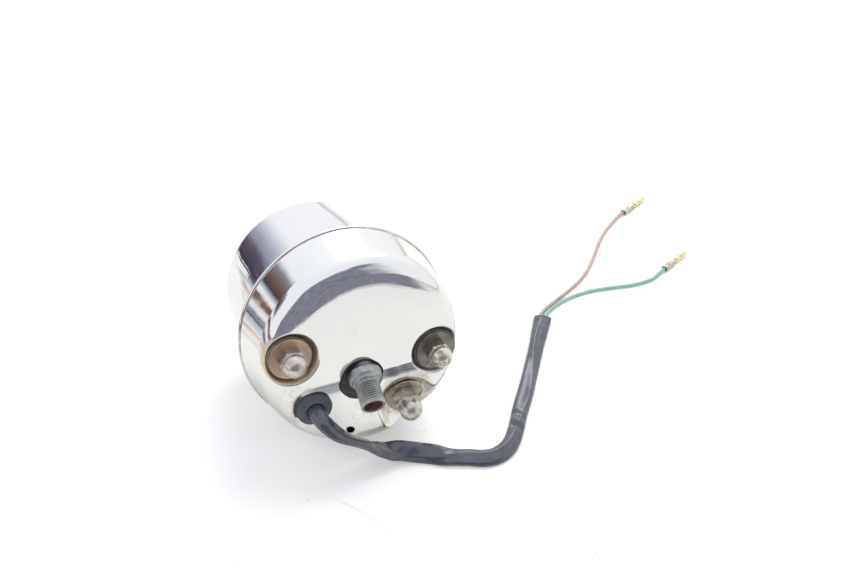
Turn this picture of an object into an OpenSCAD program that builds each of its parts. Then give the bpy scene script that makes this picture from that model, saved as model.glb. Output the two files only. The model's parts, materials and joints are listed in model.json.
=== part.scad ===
// Motorcycle tachometer with a chromed rear cover, lying on its barrel with its back to the viewer.
// Most pieces are drawn in the instrument's own frame: the origin is on the axis at the seam,
// +Z runs out of the rear face, +Y to the top of the dial and +X to the right seen from behind.

/* [Case] */
// Outside diameter of the rear cover's rolled rim
rim_d = 110; // [90:1:134]
// Depth of the rear cover from the seam to its face
cover_depth = 32; // [26:1:39]
// Length of the front shell from the seam to its front lip
shell_len = 65; // [54:1:80]
// How far the rim stands out past the front shell at the seam
rim_step = 5.5; // [4.5:0.5:7]
// How much the front shell narrows from the seam to its front edge
shell_taper = 4; // [2:0.5:6]
// Radius of the front shell's rounded edge
front_edge_r = 6; // [4:0.5:7.5]
// Radius of the rear cover's rounded edge
cover_edge_r = 9.5; // [7:0.5:11.5]
// Sheet thickness of both shells
sheet_t = 1; // [0.8:0.1:1.3]
// Radius of the rolled bead on the rim
bead_r = 1.25; // [1:0.05:1.5]
// Width of the front lip that holds the lens
front_lip_w = 8.5; // [7:0.5:10]

/* [Resting place] */
// Turn of the instrument about its own axis as it lies
roll = -13.3; // [-25:0.1:25]

/* [Rear face] */
// How far each mounting stud stands inside the rim
stud_inset = 17.3; // [16.1:0.1:21]
// Diameter of the mounting studs
stud_d = 6; // [5:0.5:7.2]
// Diameter of the round dimple under each damper
dimple_d = 26.8; // [26:0.2:32]
// Depth of each damper dimple under the rear face
dimple_depth = 5; // [4:0.25:6]
// Outside diameter of the rubber dampers
damper_d = 22.8; // [22:0.2:26]
// Diameter of the damper's neck, where it passes the cover
damper_neck_d = 17.8; // [15:0.2:21]
// Thickness of the damper's outer flange
damper_flange_t = 2.3; // [1.8:0.1:2.8]
// Diameter of the damper washers
washer_d = 20.6; // [18:0.2:22]
// Thickness of the damper washers
washer_t = 1; // [0.8:0.1:1.2]
// Width across the flats of the cap nuts
nut_af = 11; // [9:0.5:12]
// Height of the cap nuts' hexagon
nut_hex_h = 5.5; // [4.5:0.25:6.5]
// Width across the flats of the third stud's cap nut
third_nut_af = 12; // [10:0.5:13.5]
// Height of that nut's hexagon
third_nut_hex_h = 6.5; // [5.5:0.25:7.5]
// Height of that nut's neck between the hexagon and the dome
third_nut_neck = 3; // [1.5:0.25:4]

/* [Recess and third stud] */
// Slope of the recess floor
recess_slope = 6; // [4:0.5:8]
// Slope of the band that leads down into the recess
band_slope = 28; // [24:1:35]
// Drop of that band
band_drop = 2.2; // [1.8:0.1:2.6]
// Turn of the recess about the instrument's axis
recess_turn = 12; // [8:0.5:16]
// Distance of the recess's upper edge below the axis
recess_top = 9.8; // [8:0.2:11]
// Height of the recess across its slope
recess_h = 24; // [22:0.2:27]
// Left end of the recess
recess_left = 38; // [36:0.5:42]
// Place of the third stud across the instrument
third_x = 26; // [24:0.5:28]
// Place of the third stud below the axis
third_y = 25.6; // [24:0.2:27]
// Depth of the third stud's seat below the rear face
third_depth = 5.6; // [5:0.1:7]
// Tilt of the third stud towards the bottom of the dial
third_tilt = 20; // [16:1:24]
// Diameter of the third stud's washer
third_washer_d = 19.6; // [17:0.2:21]
// Diameter of the drain hole
drain_d = 4; // [3:0.25:5]

/* [Cable inlet] */
// Thread diameter of the cable stub
stub_d = 12; // [10:0.5:14.4]
// Bore of the cable stub
stub_bore_d = 9.4; // [8.4:0.1:9.6]
// Length of thread on the stub
thread_len = 13; // [11:0.5:15]
// Tilt of the stub towards the bottom of the dial
stub_tilt = 28.3; // [26:0.1:30]
// Point where the stub's axis crosses the instrument's axis
stub_cross = 13.6; // [12:0.1:15]
// Distance from that point to the stub's tip
stub_reach = 39.4; // [36:0.2:44]
// Diameter of the collar above the thread
collar_d = 16.8; // [15:0.1:18]
// Diameter of the hole in the rear cover round the stub
stub_hole_d = 22.8; // [21:0.2:24]
// Diameter of the input shaft
shaft_d = 5; // [4.5:0.1:5.4]
// Width across the flats of the square socket for the cable
socket_af = 2.7; // [2.4:0.1:3]

/* [Movement] */
// Teeth on each bevel gear
gear_teeth = 12; // [10:2:14]
// Cone distance of the bevel gears' large end
gear_cone = 22; // [21:0.5:23]
// Length of the bevel gears along the cone
gear_face = 4.5; // [3.5:0.5:5]
// Diameter of the magnet
magnet_d = 18; // [15:0.5:20]
// Diameter of the magnet's spindle
spindle_d = 3; // [2.5:0.1:3.2]
// Diameter of the pointer's staff
staff_d = 1.4; // [1.2:0.1:1.8]
// Length of the pointer from the staff to its tip
pointer_len = 31; // [24:0.5:33]
// Turns of the hairspring
spring_turns = 4; // [3:1:5]

/* [Dial] */
// Thickness of the lens
lens_t = 2; // [1.6:0.1:2.4]
// Thickness of the rubber ring between the lip and the lens
gasket_t = 1.4; // [1.2:0.1:1.7]
// Space between the lens and the dial
dial_gap = 8; // [7:0.5:9.5]
// Thickness of the dial
dial_t = 0.8; // [0.6:0.1:1]

/* [Harness] */
// Outside diameter of the cable grommet
grommet_d = 18; // [16:0.5:20]
// Diameter of the black sleeve
sleeve_d = 8; // [7:0.5:9]
// Diameter of each wire
wire_d = 2.2; // [2:0.1:2.4]
// Diameter of the bullet terminals
bullet_d = 3.9; // [3.5:0.1:4.5]
// Length of each bullet with its crimp
bullet_len = 25; // [21:0.5:30]

/* [Hidden] */
$fn = 64;

// Clearances
fit = 0.2;
run = 0.05;
press = 0.02;
air = 0.3;

// Case
rim_r = rim_d / 2;
shell_r = rim_r - rim_step;
front_r = shell_r - shell_taper;
front_corner_r = front_r - front_edge_r;
front_corner_z = shell_len - front_edge_r;
window_r = front_r - front_lip_w;
cover_wall_r = rim_r - 3;
cover_flat_r = cover_wall_r - cover_edge_r;
cover_corner_z = cover_depth - cover_edge_r;

// Angle at which rim and front edge both touch the ground, and the seam's height there
lean_q = rim_r - bead_r - front_corner_r;
lean_d = sqrt(pow(front_corner_z, 2) + pow(lean_q, 2));
tilt = atan(lean_q / front_corner_z) + asin((bead_r - front_edge_r) / lean_d);
seat_z = bead_r + (rim_r - bead_r) * cos(tilt);

// Stub's axis in the instrument's frame, and its point at a distance from the crossing
function along(d) = [0, -d * sin(stub_tilt), stub_cross + d * cos(stub_tilt)];
tip = along(stub_reach);
tip_v = tip[1] * cos(roll);
tip_lean = stub_d / 2 * sin(acos(cos(stub_tilt) * cos(tilt) + sin(stub_tilt) * cos(roll) * sin(tilt)));
y_back = -tip[2] * cos(tilt) + tip_v * sin(tilt) - tip_lean;
y_front = front_corner_z * cos(tilt) + front_corner_r * sin(tilt) + front_edge_r;
y_shift = -(y_back + y_front) / 2;

// Rear face
stud_x = rim_r - stud_inset;
seat_level = cover_depth - dimple_depth;
damper_top = seat_level + damper_flange_t;
washer_top = damper_top + washer_t;
hole_y = -13;
hole_x = -0.5;
gasket_top = cover_depth - 1.4;
band_w = band_drop / tan(band_slope);
recess_r = 9;
drain_at = [-2.5, -41];
grommet_neck_r = grommet_d / 2 - 2.4;
grommet_flange = 3.2;
grommet_inner = 4;
grommet_at = [-22.5, -28.4];
third_dimple_r = dimple_d / 2 - 2;

// Nuts
nut_neck = 1.5;
nut_bore = 9;

// Inside of the case, counted backwards from the front lip
lip_back = -(shell_len - sheet_t);
lens_front = lip_back + gasket_t;
lens_back = lens_front + lens_t;
dial_front = lens_back + dial_gap;
dial_back = dial_front + dial_t;
inside_r = front_corner_r + front_edge_r - sheet_t - fit;
lens_r = front_corner_r - fit
    + sqrt(pow(front_edge_r - sheet_t, 2) - pow(front_edge_r - sheet_t - gasket_t, 2));
dial_r = inside_r - 0.6;
pin_at = 24;
pin_r = 0.5;
screw_at = 14;
plate_t = 1.6;
plate_back = -sheet_t;
plate_front = plate_back - plate_t;
plate_r = shell_r - sheet_t - fit - 0.4;
box_t = 1.2;
pointer_level = dial_front - 4;
pointer_rest = 225;
bulb_at = [-27, -20];
bulb_socket_r = 6.5;
bulb_r = 4.4;
sleeve_r = stud_d / 2 + 1.8;
boss_r = 7.5;
third_shoulder = 16;

// Movement, in front of the back plate
chamber_r = 15;
chamber_wall = 3;
chamber_y = 5.5;
chamber_front = plate_front - 8.4;
base_t = 1.6;
base_front = chamber_front - base_t;
base_r = 21;
pillar_at = 17.2;
pillar_r = 1.8;
cup_t = 0.8;
cup_air = 0.7;
cup_inner_r = magnet_d / 2 + cup_air;
cup_wall = 0.5;
field_inner_r = cup_inner_r + cup_wall + 0.6;
magnet_back = base_front - 4.4;
magnet_t = 5;
spindle_front = magnet_back - magnet_t - 1;
cup_floor = spindle_front - 0.7;
cup_back = magnet_back + 0.6;
bridge_back = cup_floor - 9;
bridge_t = 1.2;
spring_level = cup_floor - 4.6;
spring_h = 0.8;
spring_w = 0.25;
spring_in = 1.9;
spring_out = 8;
pitch_angle = stub_tilt / 2;
spindle_end = plate_back + 2.6;
flange_t = 3;
collar_from = stub_reach - thread_len - 6;
cable_deep = 7;
bush_deep = 12;
socket_r = 3.9;
flange_r = 24;
barrel_r = 6.2;
foot_r = 8.2;
collar_h = 4.5;
collar_neck_h = 1.5;

// Harness: where the sleeve leaves the grommet, and its direction there
grommet_base = [grommet_at[0], grommet_at[1], cover_depth - grommet_drop()];
grommet_axis = turn_z(turn_x([0, 0, 1], recess_slope), recess_turn);
exit_point = lie(grommet_base);
exit_dir = lie(grommet_axis) - lie([0, 0, 0]);

// Route of the sleeve from the grommet: offsets along and across the ground, and share of the height
sleeve_route = [[1.5, -10.5, 0.95], [7.5, -15, 0.75], [17, -15.5, 0.49], [28, -15.5, 0.25], [38, -16.5, 0.09],
    [48, -19, 0], [58, -25, 0], [69.5, -30.5, 0], [75.5, -34, 0], [81.5, -35.5, 0], [88, -34, 0],
    [94.7, -29.2, 0], [102, -20.5, 0], [109, -11, 0], [119.5, 2, 0], [132, 18.5, 0], [145, 36, 0],
    [159, 55, 0]];
// Routes of the two wires from the sleeve's end, as offsets from the grommet along the ground
brown_route = [[158.2, 56], [161.3, 60], [170, 65.5], [178, 69.2], [187.7, 73.7], [198, 79.3],
    [208, 86.5], [219, 97.3], [229.6, 108.8], [240.6, 119.4], [250.4, 126.9], [260, 132.8], [265.4, 135.2]];
green_route = [[160.2, 54.5], [163.6, 58.5], [172.4, 63.3], [181, 66.2], [190.7, 67.6], [201, 67.5],
    [214, 65.2], [226.6, 62.6], [237.4, 62.4], [243.4, 63.8], [248.6, 66], [253.5, 68.2]];

// Ground frame: the instrument's frame turned to lie on the ground
module resting() {
    translate([0, y_shift, seat_z])
        rotate([90 - tilt, 0, 0])
            rotate([0, 0, roll])
                children();
}

// The stub's frame: origin where it crosses the instrument's axis, +Z towards the tip
module on_stub() {
    translate([0, 0, stub_cross])
        rotate([stub_tilt, 0, 0])
            children();
}

// The third stud's frame: origin on its seat, +Z outwards
module on_third() {
    translate([third_x, -third_y, cover_depth - third_depth])
        rotate([third_tilt, 0, 0])
            children();
}

// The frame of the recess's band: origin at its upper edge on the rear face, +Z square to the band
module on_band() {
    rotate([0, 0, recess_turn])
        translate([0, -recess_top, cover_depth])
            rotate([band_slope, 0, 0])
                children();
}

// The recess's frame: origin at the foot of its band, +Z square to its floor
module on_recess() {
    rotate([0, 0, recess_turn])
        translate([0, -recess_top - band_w, cover_depth - band_drop])
            rotate([recess_slope, 0, 0])
                children();
}

// The grommet's frame, on the recess floor
function grommet_drop() = let (v = grommet_at[1] * cos(recess_turn) - grommet_at[0] * sin(recess_turn))
    band_drop + (-v - recess_top - band_w) * tan(recess_slope);
module on_grommet() {
    translate([grommet_at[0], grommet_at[1], cover_depth - grommet_drop()])
        rotate([0, 0, recess_turn])
            rotate([recess_slope, 0, 0])
                children();
}

module both_sides() {
    for (side = [-1, 1])
        translate([side * stud_x, 0, 0])
            children();
}

module tube(outer, inner, from, to) {
    translate([0, 0, from])
        difference() {
            cylinder(r = outer, h = to - from);
            translate([0, 0, -1]) cylinder(r = inner, h = to - from + 2);
        }
}

module rod(radius, from, to) {
    translate([0, 0, from]) cylinder(r = radius, h = to - from);
}

// Case
module shell_profile(inset) {
    union() {
        translate([front_corner_r, -front_corner_z]) circle(r = front_edge_r - inset);
        polygon([[0, 1], [0, -shell_len + inset], [front_corner_r, -shell_len + inset],
            [front_r - inset, -front_corner_z], [shell_r - inset, 0], [shell_r - inset, 1]]);
    }
}

module front_shell() {
    color("gainsboro")
        resting()
            union() {
                difference() {
                    rotate_extrude()
                        intersection() {
                            difference() {
                                shell_profile(0);
                                shell_profile(sheet_t);
                            }
                            translate([0, -shell_len - 1]) square([rim_r, shell_len + 1]);
                        }
                    rod(window_r, -shell_len - 1, -shell_len + front_edge_r);
                }
                tube(shell_r - sheet_t / 2, shell_r - 3, -sheet_t, 0);
            }
}

module cover_profile(inset) {
    union() {
        translate([cover_flat_r, cover_corner_z]) circle(r = cover_edge_r - inset);
        square([cover_flat_r, cover_depth - inset]);
        polygon([[0, -1], [rim_r - 0.9 - inset, -1], [rim_r - 0.9 - inset, 0],
            [cover_wall_r - inset, cover_corner_z], [0, cover_corner_z]]);
    }
}

// Everything pressed into the rear face; grow enlarges it by the sheet's thickness for the inside
module pressed_places(grow) {
    both_sides()
        rod(dimple_d / 2 + grow, seat_level - grow, cover_depth + 20);
    intersection() {
        on_band()
            translate([-2 * rim_r, -2 * rim_r, -grow]) cube([4 * rim_r, 3 * rim_r, 2 * rim_r]);
        on_recess()
            translate([0, band_w, -grow]) {
                translate([-recess_left + recess_r - grow, -recess_h - grow, 0])
                    cube([recess_left + rim_r + 2 * grow, recess_h + grow + 1, 20]);
                translate([-recess_left - grow, -recess_h + recess_r - grow, 0])
                    cube([recess_r, recess_h - 2 * recess_r + 2 * grow, 20]);
                for (y = [-recess_h + recess_r, -recess_r])
                    translate([-recess_left + recess_r, y, 0]) cylinder(r = recess_r + grow, h = 20);
            }
    }
    on_third()
        translate([0, 0, -grow]) {
            cylinder(r1 = third_dimple_r + grow, r2 = third_dimple_r + 3 + grow, h = 4.5);
            translate([0, 0, 4.5]) cylinder(r = third_dimple_r + 3 + grow, h = 12);
        }
}

module rear_cover() {
    color("silver")
        resting()
            union() {
                difference() {
                    cover_outside();
                    cover_inside();
                    both_sides() rod(damper_neck_d / 2 + fit / 2, 10, cover_depth);
                    translate([hole_x, hole_y, 0]) rod(stub_hole_d / 2, 10, cover_depth + 1);
                    on_third() rod(stud_d / 2 + fit, -6, 3);
                    on_grommet() rod(grommet_neck_r + fit / 2, -6, 6);
                    translate([drain_at[0], drain_at[1], 0]) rod(drain_d / 2, 10, cover_depth + 1);
                }
                rotate_extrude()
                    translate([rim_r - bead_r, 0]) circle(r = bead_r);
            }
}

module cover_outside() {
    difference() {
        rotate_extrude()
            intersection() {
                cover_profile(0);
                square([rim_r, cover_depth]);
            }
        pressed_places(0);
    }
}

module cover_inside() {
    difference() {
        rotate_extrude()
            cover_profile(sheet_t);
        pressed_places(sheet_t);
    }
}

module rim_seal() {
    color("dimgray")
        resting()
            tube(rim_r - 2 * bead_r - press, shell_r + press, -1.2, 2.4);
}

module lens_gasket() {
    color("black")
        resting()
            tube(front_corner_r - 0.1, window_r + 0.2, lip_back, lens_front);
}

module lens() {
    color("lightblue", 0.4)
        resting()
            rod(lens_r, lens_front, lens_back);
}

module dial_ring() {
    color("black")
        resting()
            tube(dial_r, window_r + 0.2, lens_back, dial_front);
}

module pin_place() {
    rotate([0, 0, pointer_rest - 3.2]) translate([0, pin_at, 0]) children();
}

module dial_screw_places() {
    for (side = [-1, 1])
        translate([side * screw_at, 0, 0]) children();
}

module dial() {
    color("darkslategray")
        resting()
            difference() {
                rod(dial_r, dial_front, dial_back);
                rod(staff_d / 2 + 1.6, dial_front - 1, dial_back + 1);
                dial_screw_places() rod(1 + fit / 2, dial_front - 1, dial_back + 1);
                pin_place() rod(pin_r + press, dial_front - 1, dial_back + 1);
            }
}

module dial_screws() {
    color("darkgray")
        resting()
            dial_screw_places()
                difference() {
                    union() {
                        rod(2, dial_front - 1.1, dial_front);
                        rod(1, dial_front - 0.5, dial_back + 4);
                    }
                    translate([-3, -0.3, dial_front - 1.2]) cube([6, 0.6, 0.6]);
                }
}

module zero_pin() {
    color("silver")
        resting()
            pin_place() rod(pin_r, pointer_level - 1.2, dial_back);
}

module pointer() {
    color("orangered")
        resting()
            rotate([0, 0, pointer_rest])
                difference() {
                    union() {
                        rod(4.2, pointer_level - 1, pointer_level + 0.8);
                        translate([0, 0, pointer_level - 0.8])
                            linear_extrude(height = 0.8)
                                polygon([[-1.5, 0], [-0.4, pointer_len], [0.4, pointer_len], [1.5, 0],
                                    [1.5, -9], [-1.5, -9]]);
                    }
                    rod(staff_d / 2 + press, pointer_level - 2, pointer_level + 2);
                }
}

module pointer_cap() {
    color("black")
        resting()
            difference() {
                rod(3.2, pointer_level - 2.4, pointer_level - 1);
                rod(staff_d / 2 + press, pointer_level - 1.8, pointer_level);
            }
}

module light_box() {
    color("white")
        resting()
            difference() {
                rod(dial_r, dial_back, plate_front);
                difference() {
                    rod(dial_r - box_t, dial_back - 1, plate_front - box_t);
                    for (side = [-1, 1]) box_post(side);
                }
                rod(base_r + 2, plate_front - 10, plate_front + 1);
                translate([bulb_at[0], bulb_at[1], 0])
                    rod(bulb_socket_r + 0.7, plate_front - 10, plate_front + 1);
                dial_screw_places() rod(1 + press, dial_back - 1, dial_back + 5);
            }
}

// A post on an arm from the light box's wall, which a dial screw enters
module box_post(side) {
    translate([side * screw_at, 0, 0]) rod(2.4, dial_back, dial_back + 6);
    translate([side < 0 ? -inside_r : screw_at, -1, dial_back]) cube([inside_r - screw_at, 2, 6]);
}

module back_plate() {
    color("lightsteelblue")
        resting()
            difference() {
                union() {
                    rod(plate_r, plate_front, plate_back);
                    both_sides() rod(boss_r, plate_back - 0.1, plate_back + 3);
                    intersection() {
                        on_third() rod(boss_r - 1.5, -40, -third_shoulder);
                        rod(plate_r, plate_back - 0.1, 12);
                    }
                }
                translate([0, chamber_y, 0]) rod(chamber_r + fit, plate_front - 1, plate_back + 1);
                both_sides() rod(stud_d / 2 + press, plate_front - 1, plate_back + 4);
                on_third() rod(stud_d / 2 + press, -40, 0);
                translate([bulb_at[0], bulb_at[1], 0])
                    rod(bulb_socket_r + fit / 2, plate_front - 1, plate_back + 1);
                housing_screw_places() rod(1.9 + press, plate_front - 1, plate_back + 1);
            }
}

module housing_screw_places() {
    for (a = [20, 160, 270])
        translate([0, chamber_y / 2, 0])
            rotate([0, 0, a]) translate([flange_r - 5, 0, 0]) children();
}

// Movement
module frame_base() {
    color("goldenrod")
        resting()
            difference() {
                rod(base_r, base_front, chamber_front);
                rod(spindle_d / 2 + 1.1 + press, base_front - 1, chamber_front + 1);
                pillar_places() rod(1 + press, base_front - 1, chamber_front + 1);
                frame_screw_places() rod(1 + press, base_front - 1, chamber_front + 1);
            }
}

module pillar_places() {
    for (a = [30, 150, 270])
        rotate([0, 0, a]) translate([pillar_at, 0, 0]) children();
}

module frame_screw_places() {
    for (a = [60, 120])
        translate([0, chamber_y, 0])
            rotate([0, 0, a]) translate([chamber_r - chamber_wall / 2, 0, 0]) children();
}

module pillars() {
    color("gold")
        resting()
            pillar_places()
                union() {
                    rod(pillar_r, bridge_back, base_front);
                    rod(1, bridge_back - bridge_t - 1, chamber_front - 0.2);
                    rod(1.6, bridge_back - bridge_t - 1, bridge_back - bridge_t);
                }
}

module front_bridge() {
    color("goldenrod")
        resting()
            difference() {
                union() {
                    for (a = [30, 150, 270])
                        rotate([0, 0, a])
                            translate([0, -2.6, bridge_back - bridge_t]) cube([pillar_at, 5.2, bridge_t]);
                    rod(6, bridge_back - bridge_t, bridge_back);
                    pillar_places() rod(2.6, bridge_back - bridge_t, bridge_back);
                    rotate([0, 0, 90])
                        translate([0, -1.5, bridge_back - bridge_t]) cube([spring_out + 1.6, 3, bridge_t]);
                }
                rod(staff_d / 2 + run, bridge_back - bridge_t - 1, bridge_back + 1);
                pillar_places() rod(1 + press, bridge_back - bridge_t - 1, bridge_back + 1);
                translate([0, spring_out, 0]) rod(0.5 + press, bridge_back - bridge_t - 1, bridge_back + 1);
            }
}

module frame_screws() {
    color("silver")
        resting()
            frame_screw_places()
                union() {
                    rod(1, base_front - 0.5, chamber_front + 3.5);
                    rod(1.9, base_front - 1.2, base_front);
                }
}

module field_cup() {
    color("dimgray")
        resting()
            difference() {
                rod(field_inner_r + 1.2, cup_floor + 0.2, base_front);
                rod(field_inner_r, cup_floor - 1, base_front - cup_t);
                rod(spindle_d / 2 + 2.6, base_front - 2, base_front + 1);
            }
}

module magnet() {
    color("slategray")
        resting()
            tube(magnet_d / 2, spindle_d / 2 + press, magnet_back - magnet_t, magnet_back);
}

module magnet_spindle() {
    color("silver")
        resting()
            difference() {
                rod(spindle_d / 2, spindle_front, spindle_end);
                rod(staff_d / 2 - 0.05, spindle_front - 1, spindle_front + 1.4);
            }
}

module spindle_bush() {
    color("peru")
        resting()
            difference() {
                union() {
                    rod(spindle_d / 2 + 1.1, base_front - 0.3, chamber_front + 0.6);
                    rod(spindle_d / 2 + 2, base_front - 1.3, base_front);
                }
                rod(spindle_d / 2 + run, base_front - 2, chamber_front + 1);
            }
}

// Bevel gear whose cone has its point at the origin and opens towards -Z
module bevel_gear(bore_r, half_turn) {
    big = gear_cone * sin(pitch_angle);
    near = (gear_cone - gear_face) / gear_cone;
    depth = gear_cone * cos(pitch_angle);
    module_size = 2 * big / gear_teeth;
    difference() {
        translate([0, 0, -depth])
            rotate([0, 0, half_turn ? 180 / gear_teeth : 0])
                linear_extrude(height = depth * (1 - near), scale = near)
                    gear_outline(big, module_size);
        rod(bore_r + press, -depth - 1, 0);
    }
}

module gear_outline(pitch_r, size) {
    root = pitch_r - 1.25 * size;
    top = pitch_r + 0.8 * size;
    step = 360 / gear_teeth;
    polygon([for (i = [0 : gear_teeth - 1]) let (a = i * step + 90)
        each [
            [root * cos(a - step * 0.32), root * sin(a - step * 0.32)],
            [pitch_r * cos(a - step * 0.2), pitch_r * sin(a - step * 0.2)],
            [top * cos(a - step * 0.08), top * sin(a - step * 0.08)],
            [top * cos(a + step * 0.08), top * sin(a + step * 0.08)],
            [pitch_r * cos(a + step * 0.2), pitch_r * sin(a + step * 0.2)],
            [root * cos(a + step * 0.32), root * sin(a + step * 0.32)]
        ]]);
}

module spindle_gear() {
    color("darkkhaki")
        resting()
            translate([0, 0, stub_cross]) bevel_gear(spindle_d / 2, false);
}

module drag_cup() {
    color("whitesmoke")
        resting()
            difference() {
                rod(cup_inner_r + cup_wall, cup_floor - cup_wall, cup_back);
                rod(cup_inner_r, cup_floor, cup_back + 1);
                rod(staff_d / 2 + press, cup_floor - 2, cup_floor + 1);
            }
}

module pointer_staff() {
    color("lightgray")
        resting()
            union() {
                rod(staff_d / 2, pointer_level - 1.6, cup_floor + 0.3);
                rod(staff_d / 2 - 0.1, cup_floor, spindle_front + 1.2);
                rod(spring_in - spring_w, spring_level - 0.1, spring_level + spring_h + 0.1);
            }
}

// Hairspring: one flat ribbon along a spiral, wound from the collet to the stud
spring_steps = 24;
function spring_point(t, side) =
    let (r = spring_in + (spring_out - spring_in) * t + side * spring_w / 2,
        a = 90 + 360 * spring_turns * t)
    [r * cos(a), r * sin(a)];
module hairspring() {
    n = spring_steps * spring_turns;
    color("steelblue")
        resting()
            translate([0, 0, spring_level])
                linear_extrude(height = spring_h)
                    polygon(concat([for (i = [0 : n]) spring_point(i / n, -1)],
                        [for (i = [n : -1 : 0]) spring_point(i / n, 1)]));
}

module spring_stud() {
    color("gold")
        resting()
            translate([0, spring_out, 0])
                union() {
                    rod(0.5, bridge_back - bridge_t - 0.4, bridge_back + 0.2);
                    rod(0.9, bridge_back, spring_level - 0.02);
                }
}

// Drive housing: flange and gear chamber on the back plate, with the inclined barrel and stub
module drive_housing() {
    color("darkgray")
        resting()
            difference() {
                union() {
                    translate([0, chamber_y / 2, 0]) rod(flange_r, plate_back, plate_back + flange_t);
                    translate([0, chamber_y, 0]) rod(chamber_r, chamber_front, plate_back + 1);
                    intersection() {
                        on_stub() rod(foot_r, -24, 6);
                        rod(2 * flange_r, plate_back, cover_depth);
                    }
                    on_stub() rod(barrel_r, -6, collar_from + 1);
                    on_stub() rod(collar_d / 2, collar_from, collar_from + collar_h);
                    on_stub() rod(collar_d / 2 - 1, collar_from, collar_from + collar_h + collar_neck_h);
                    on_stub() rod(stub_d / 2, collar_from + collar_h, stub_reach);
                }
                translate([0, chamber_y, 0])
                    rod(chamber_r - chamber_wall, chamber_front - 1, plate_back - 0.6);
                on_stub() rod(foot_r - 1.5, -24, -gear_cone * cos(pitch_angle) + gear_face);
                rod(spindle_d / 2 + run, chamber_front, spindle_end + 0.2);
                on_stub() rod(stub_bore_d / 2, stub_reach - cable_deep, stub_reach + 1);
                on_stub() rod(socket_r + air, stub_reach - bush_deep, stub_reach - 1);
                on_stub() rod(shaft_d / 2 + 1 + press, -24, stub_reach - cable_deep);
                housing_screw_places() rod(1.9 + fit, plate_back - 1, plate_back + flange_t + 1);
                frame_screw_places() rod(1 + press, chamber_front - 1, chamber_front + 4.2);
            }
}

module housing_screws() {
    color("silver")
        resting()
            housing_screw_places()
                difference() {
                    union() {
                        rod(1.9, plate_front - 1, plate_back + flange_t + 1);
                        rod(3.4, plate_back + flange_t, plate_back + flange_t + 2.2);
                    }
                    translate([-4, -0.4, plate_back + flange_t + 1.2]) cube([8, 0.8, 2]);
                }
}

module input_bush() {
    color("peru")
        resting()
            on_stub()
                tube(shaft_d / 2 + 1, shaft_d / 2 + run, -12, stub_reach - bush_deep);
}

module input_shaft() {
    color("silver")
        resting()
            on_stub()
                difference() {
                    union() {
                        rod(shaft_d / 2, -gear_cone * cos(pitch_angle) - 0.5, stub_reach - cable_deep - air);
                        rod(socket_r, stub_reach - bush_deep + 0.1, stub_reach - cable_deep - air);
                    }
                    translate([-socket_af / 2, -socket_af / 2, stub_reach - 18])
                        cube([socket_af, socket_af, 12]);
                }
}

module input_pinion() {
    color("darkkhaki")
        resting()
            on_stub()
                rotate([0, 0, 180])
                    bevel_gear(shaft_d / 2, true);
}

module stub_gasket() {
    color("black")
        resting()
            difference() {
                translate([hole_x, hole_y, 0])
                    union() {
                        rod(stub_hole_d / 2 - 0.1, gasket_top - 4.7, gasket_top);
                        rod(stub_hole_d / 2 + 1.6, gasket_top - 4.7, gasket_top - 3.5);
                    }
                on_stub() rod(barrel_r + press, -20, stub_reach);
                on_stub() rod(collar_d / 2 + press, collar_from - press, stub_reach);
            }
}

// Mounting hardware
module mounting_studs() {
    color("silver")
        resting()
            both_sides()
                union() {
                    rod(stud_d / 2, plate_front, washer_top + nut_bore - 0.6);
                    rod(5.6, plate_back + 3, seat_level - 5.5);
                }
}

module damper() {
    difference() {
        union() {
            rod(damper_d / 2, seat_level, damper_top);
            rod(damper_neck_d / 2, seat_level - sheet_t - 0.1, seat_level + 0.1);
            rod(damper_d / 2 - 1.4, seat_level - 5, seat_level - sheet_t);
        }
        rod(sleeve_r + press, seat_level - 6, damper_top + 1);
    }
}

module damper_left() {
    color([0.2, 0.18, 0.16])
        resting()
            translate([-stud_x, 0, 0]) damper();
}

module damper_right() {
    color([0.13, 0.13, 0.14])
        resting()
            translate([stud_x, 0, 0]) damper();
}

module damper_sleeves() {
    color("silver")
        resting()
            both_sides()
                tube(sleeve_r, stud_d / 2 + 0.1, seat_level - 5.5, damper_top);
}

module washer() {
    tube(washer_d / 2, stud_d / 2 + fit, damper_top, washer_top);
}

module washer_left() {
    color([0.62, 0.5, 0.4])
        resting()
            translate([-stud_x, 0, 0]) washer();
}

module washer_right() {
    color([0.5, 0.47, 0.45])
        resting()
            translate([stud_x, 0, 0]) washer();
}

// Cap nut standing on the level z = 0
module cap_nut(af = nut_af, hex_h = nut_hex_h, neck = nut_neck) {
    dome_r = af / 2 - 0.1;
    difference() {
        union() {
            intersection() {
                cylinder(r = af / sqrt(3), h = hex_h, $fn = 6);
                cylinder(r1 = af / sqrt(3) + 2.4, r2 = af / sqrt(3) - 0.35, h = hex_h);
            }
            rod(dome_r, hex_h - 0.1, hex_h + neck);
            translate([0, 0, hex_h + neck]) sphere(r = dome_r);
        }
        rod(stud_d / 2 + run, -1, nut_bore);
    }
}

module cap_nut_left() {
    color([0.72, 0.68, 0.62])
        resting()
            translate([-stud_x, 0, washer_top]) cap_nut();
}

module cap_nut_right() {
    color([0.6, 0.56, 0.5])
        resting()
            translate([stud_x, 0, washer_top]) rotate([0, 0, 14]) cap_nut();
}

module third_stud() {
    color("silver")
        resting()
            intersection() {
                on_third()
                    union() {
                        rod(stud_d / 2, -50, washer_t + nut_bore - 0.6);
                        rod(boss_r - 2.5, -third_shoulder, -sheet_t);
                    }
                rod(rim_r, plate_front, cover_depth + 20);
            }
}

module third_washer() {
    color([0.45, 0.38, 0.33])
        resting()
            on_third()
                tube(third_washer_d / 2, stud_d / 2 + fit, 0, washer_t);
}

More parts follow.
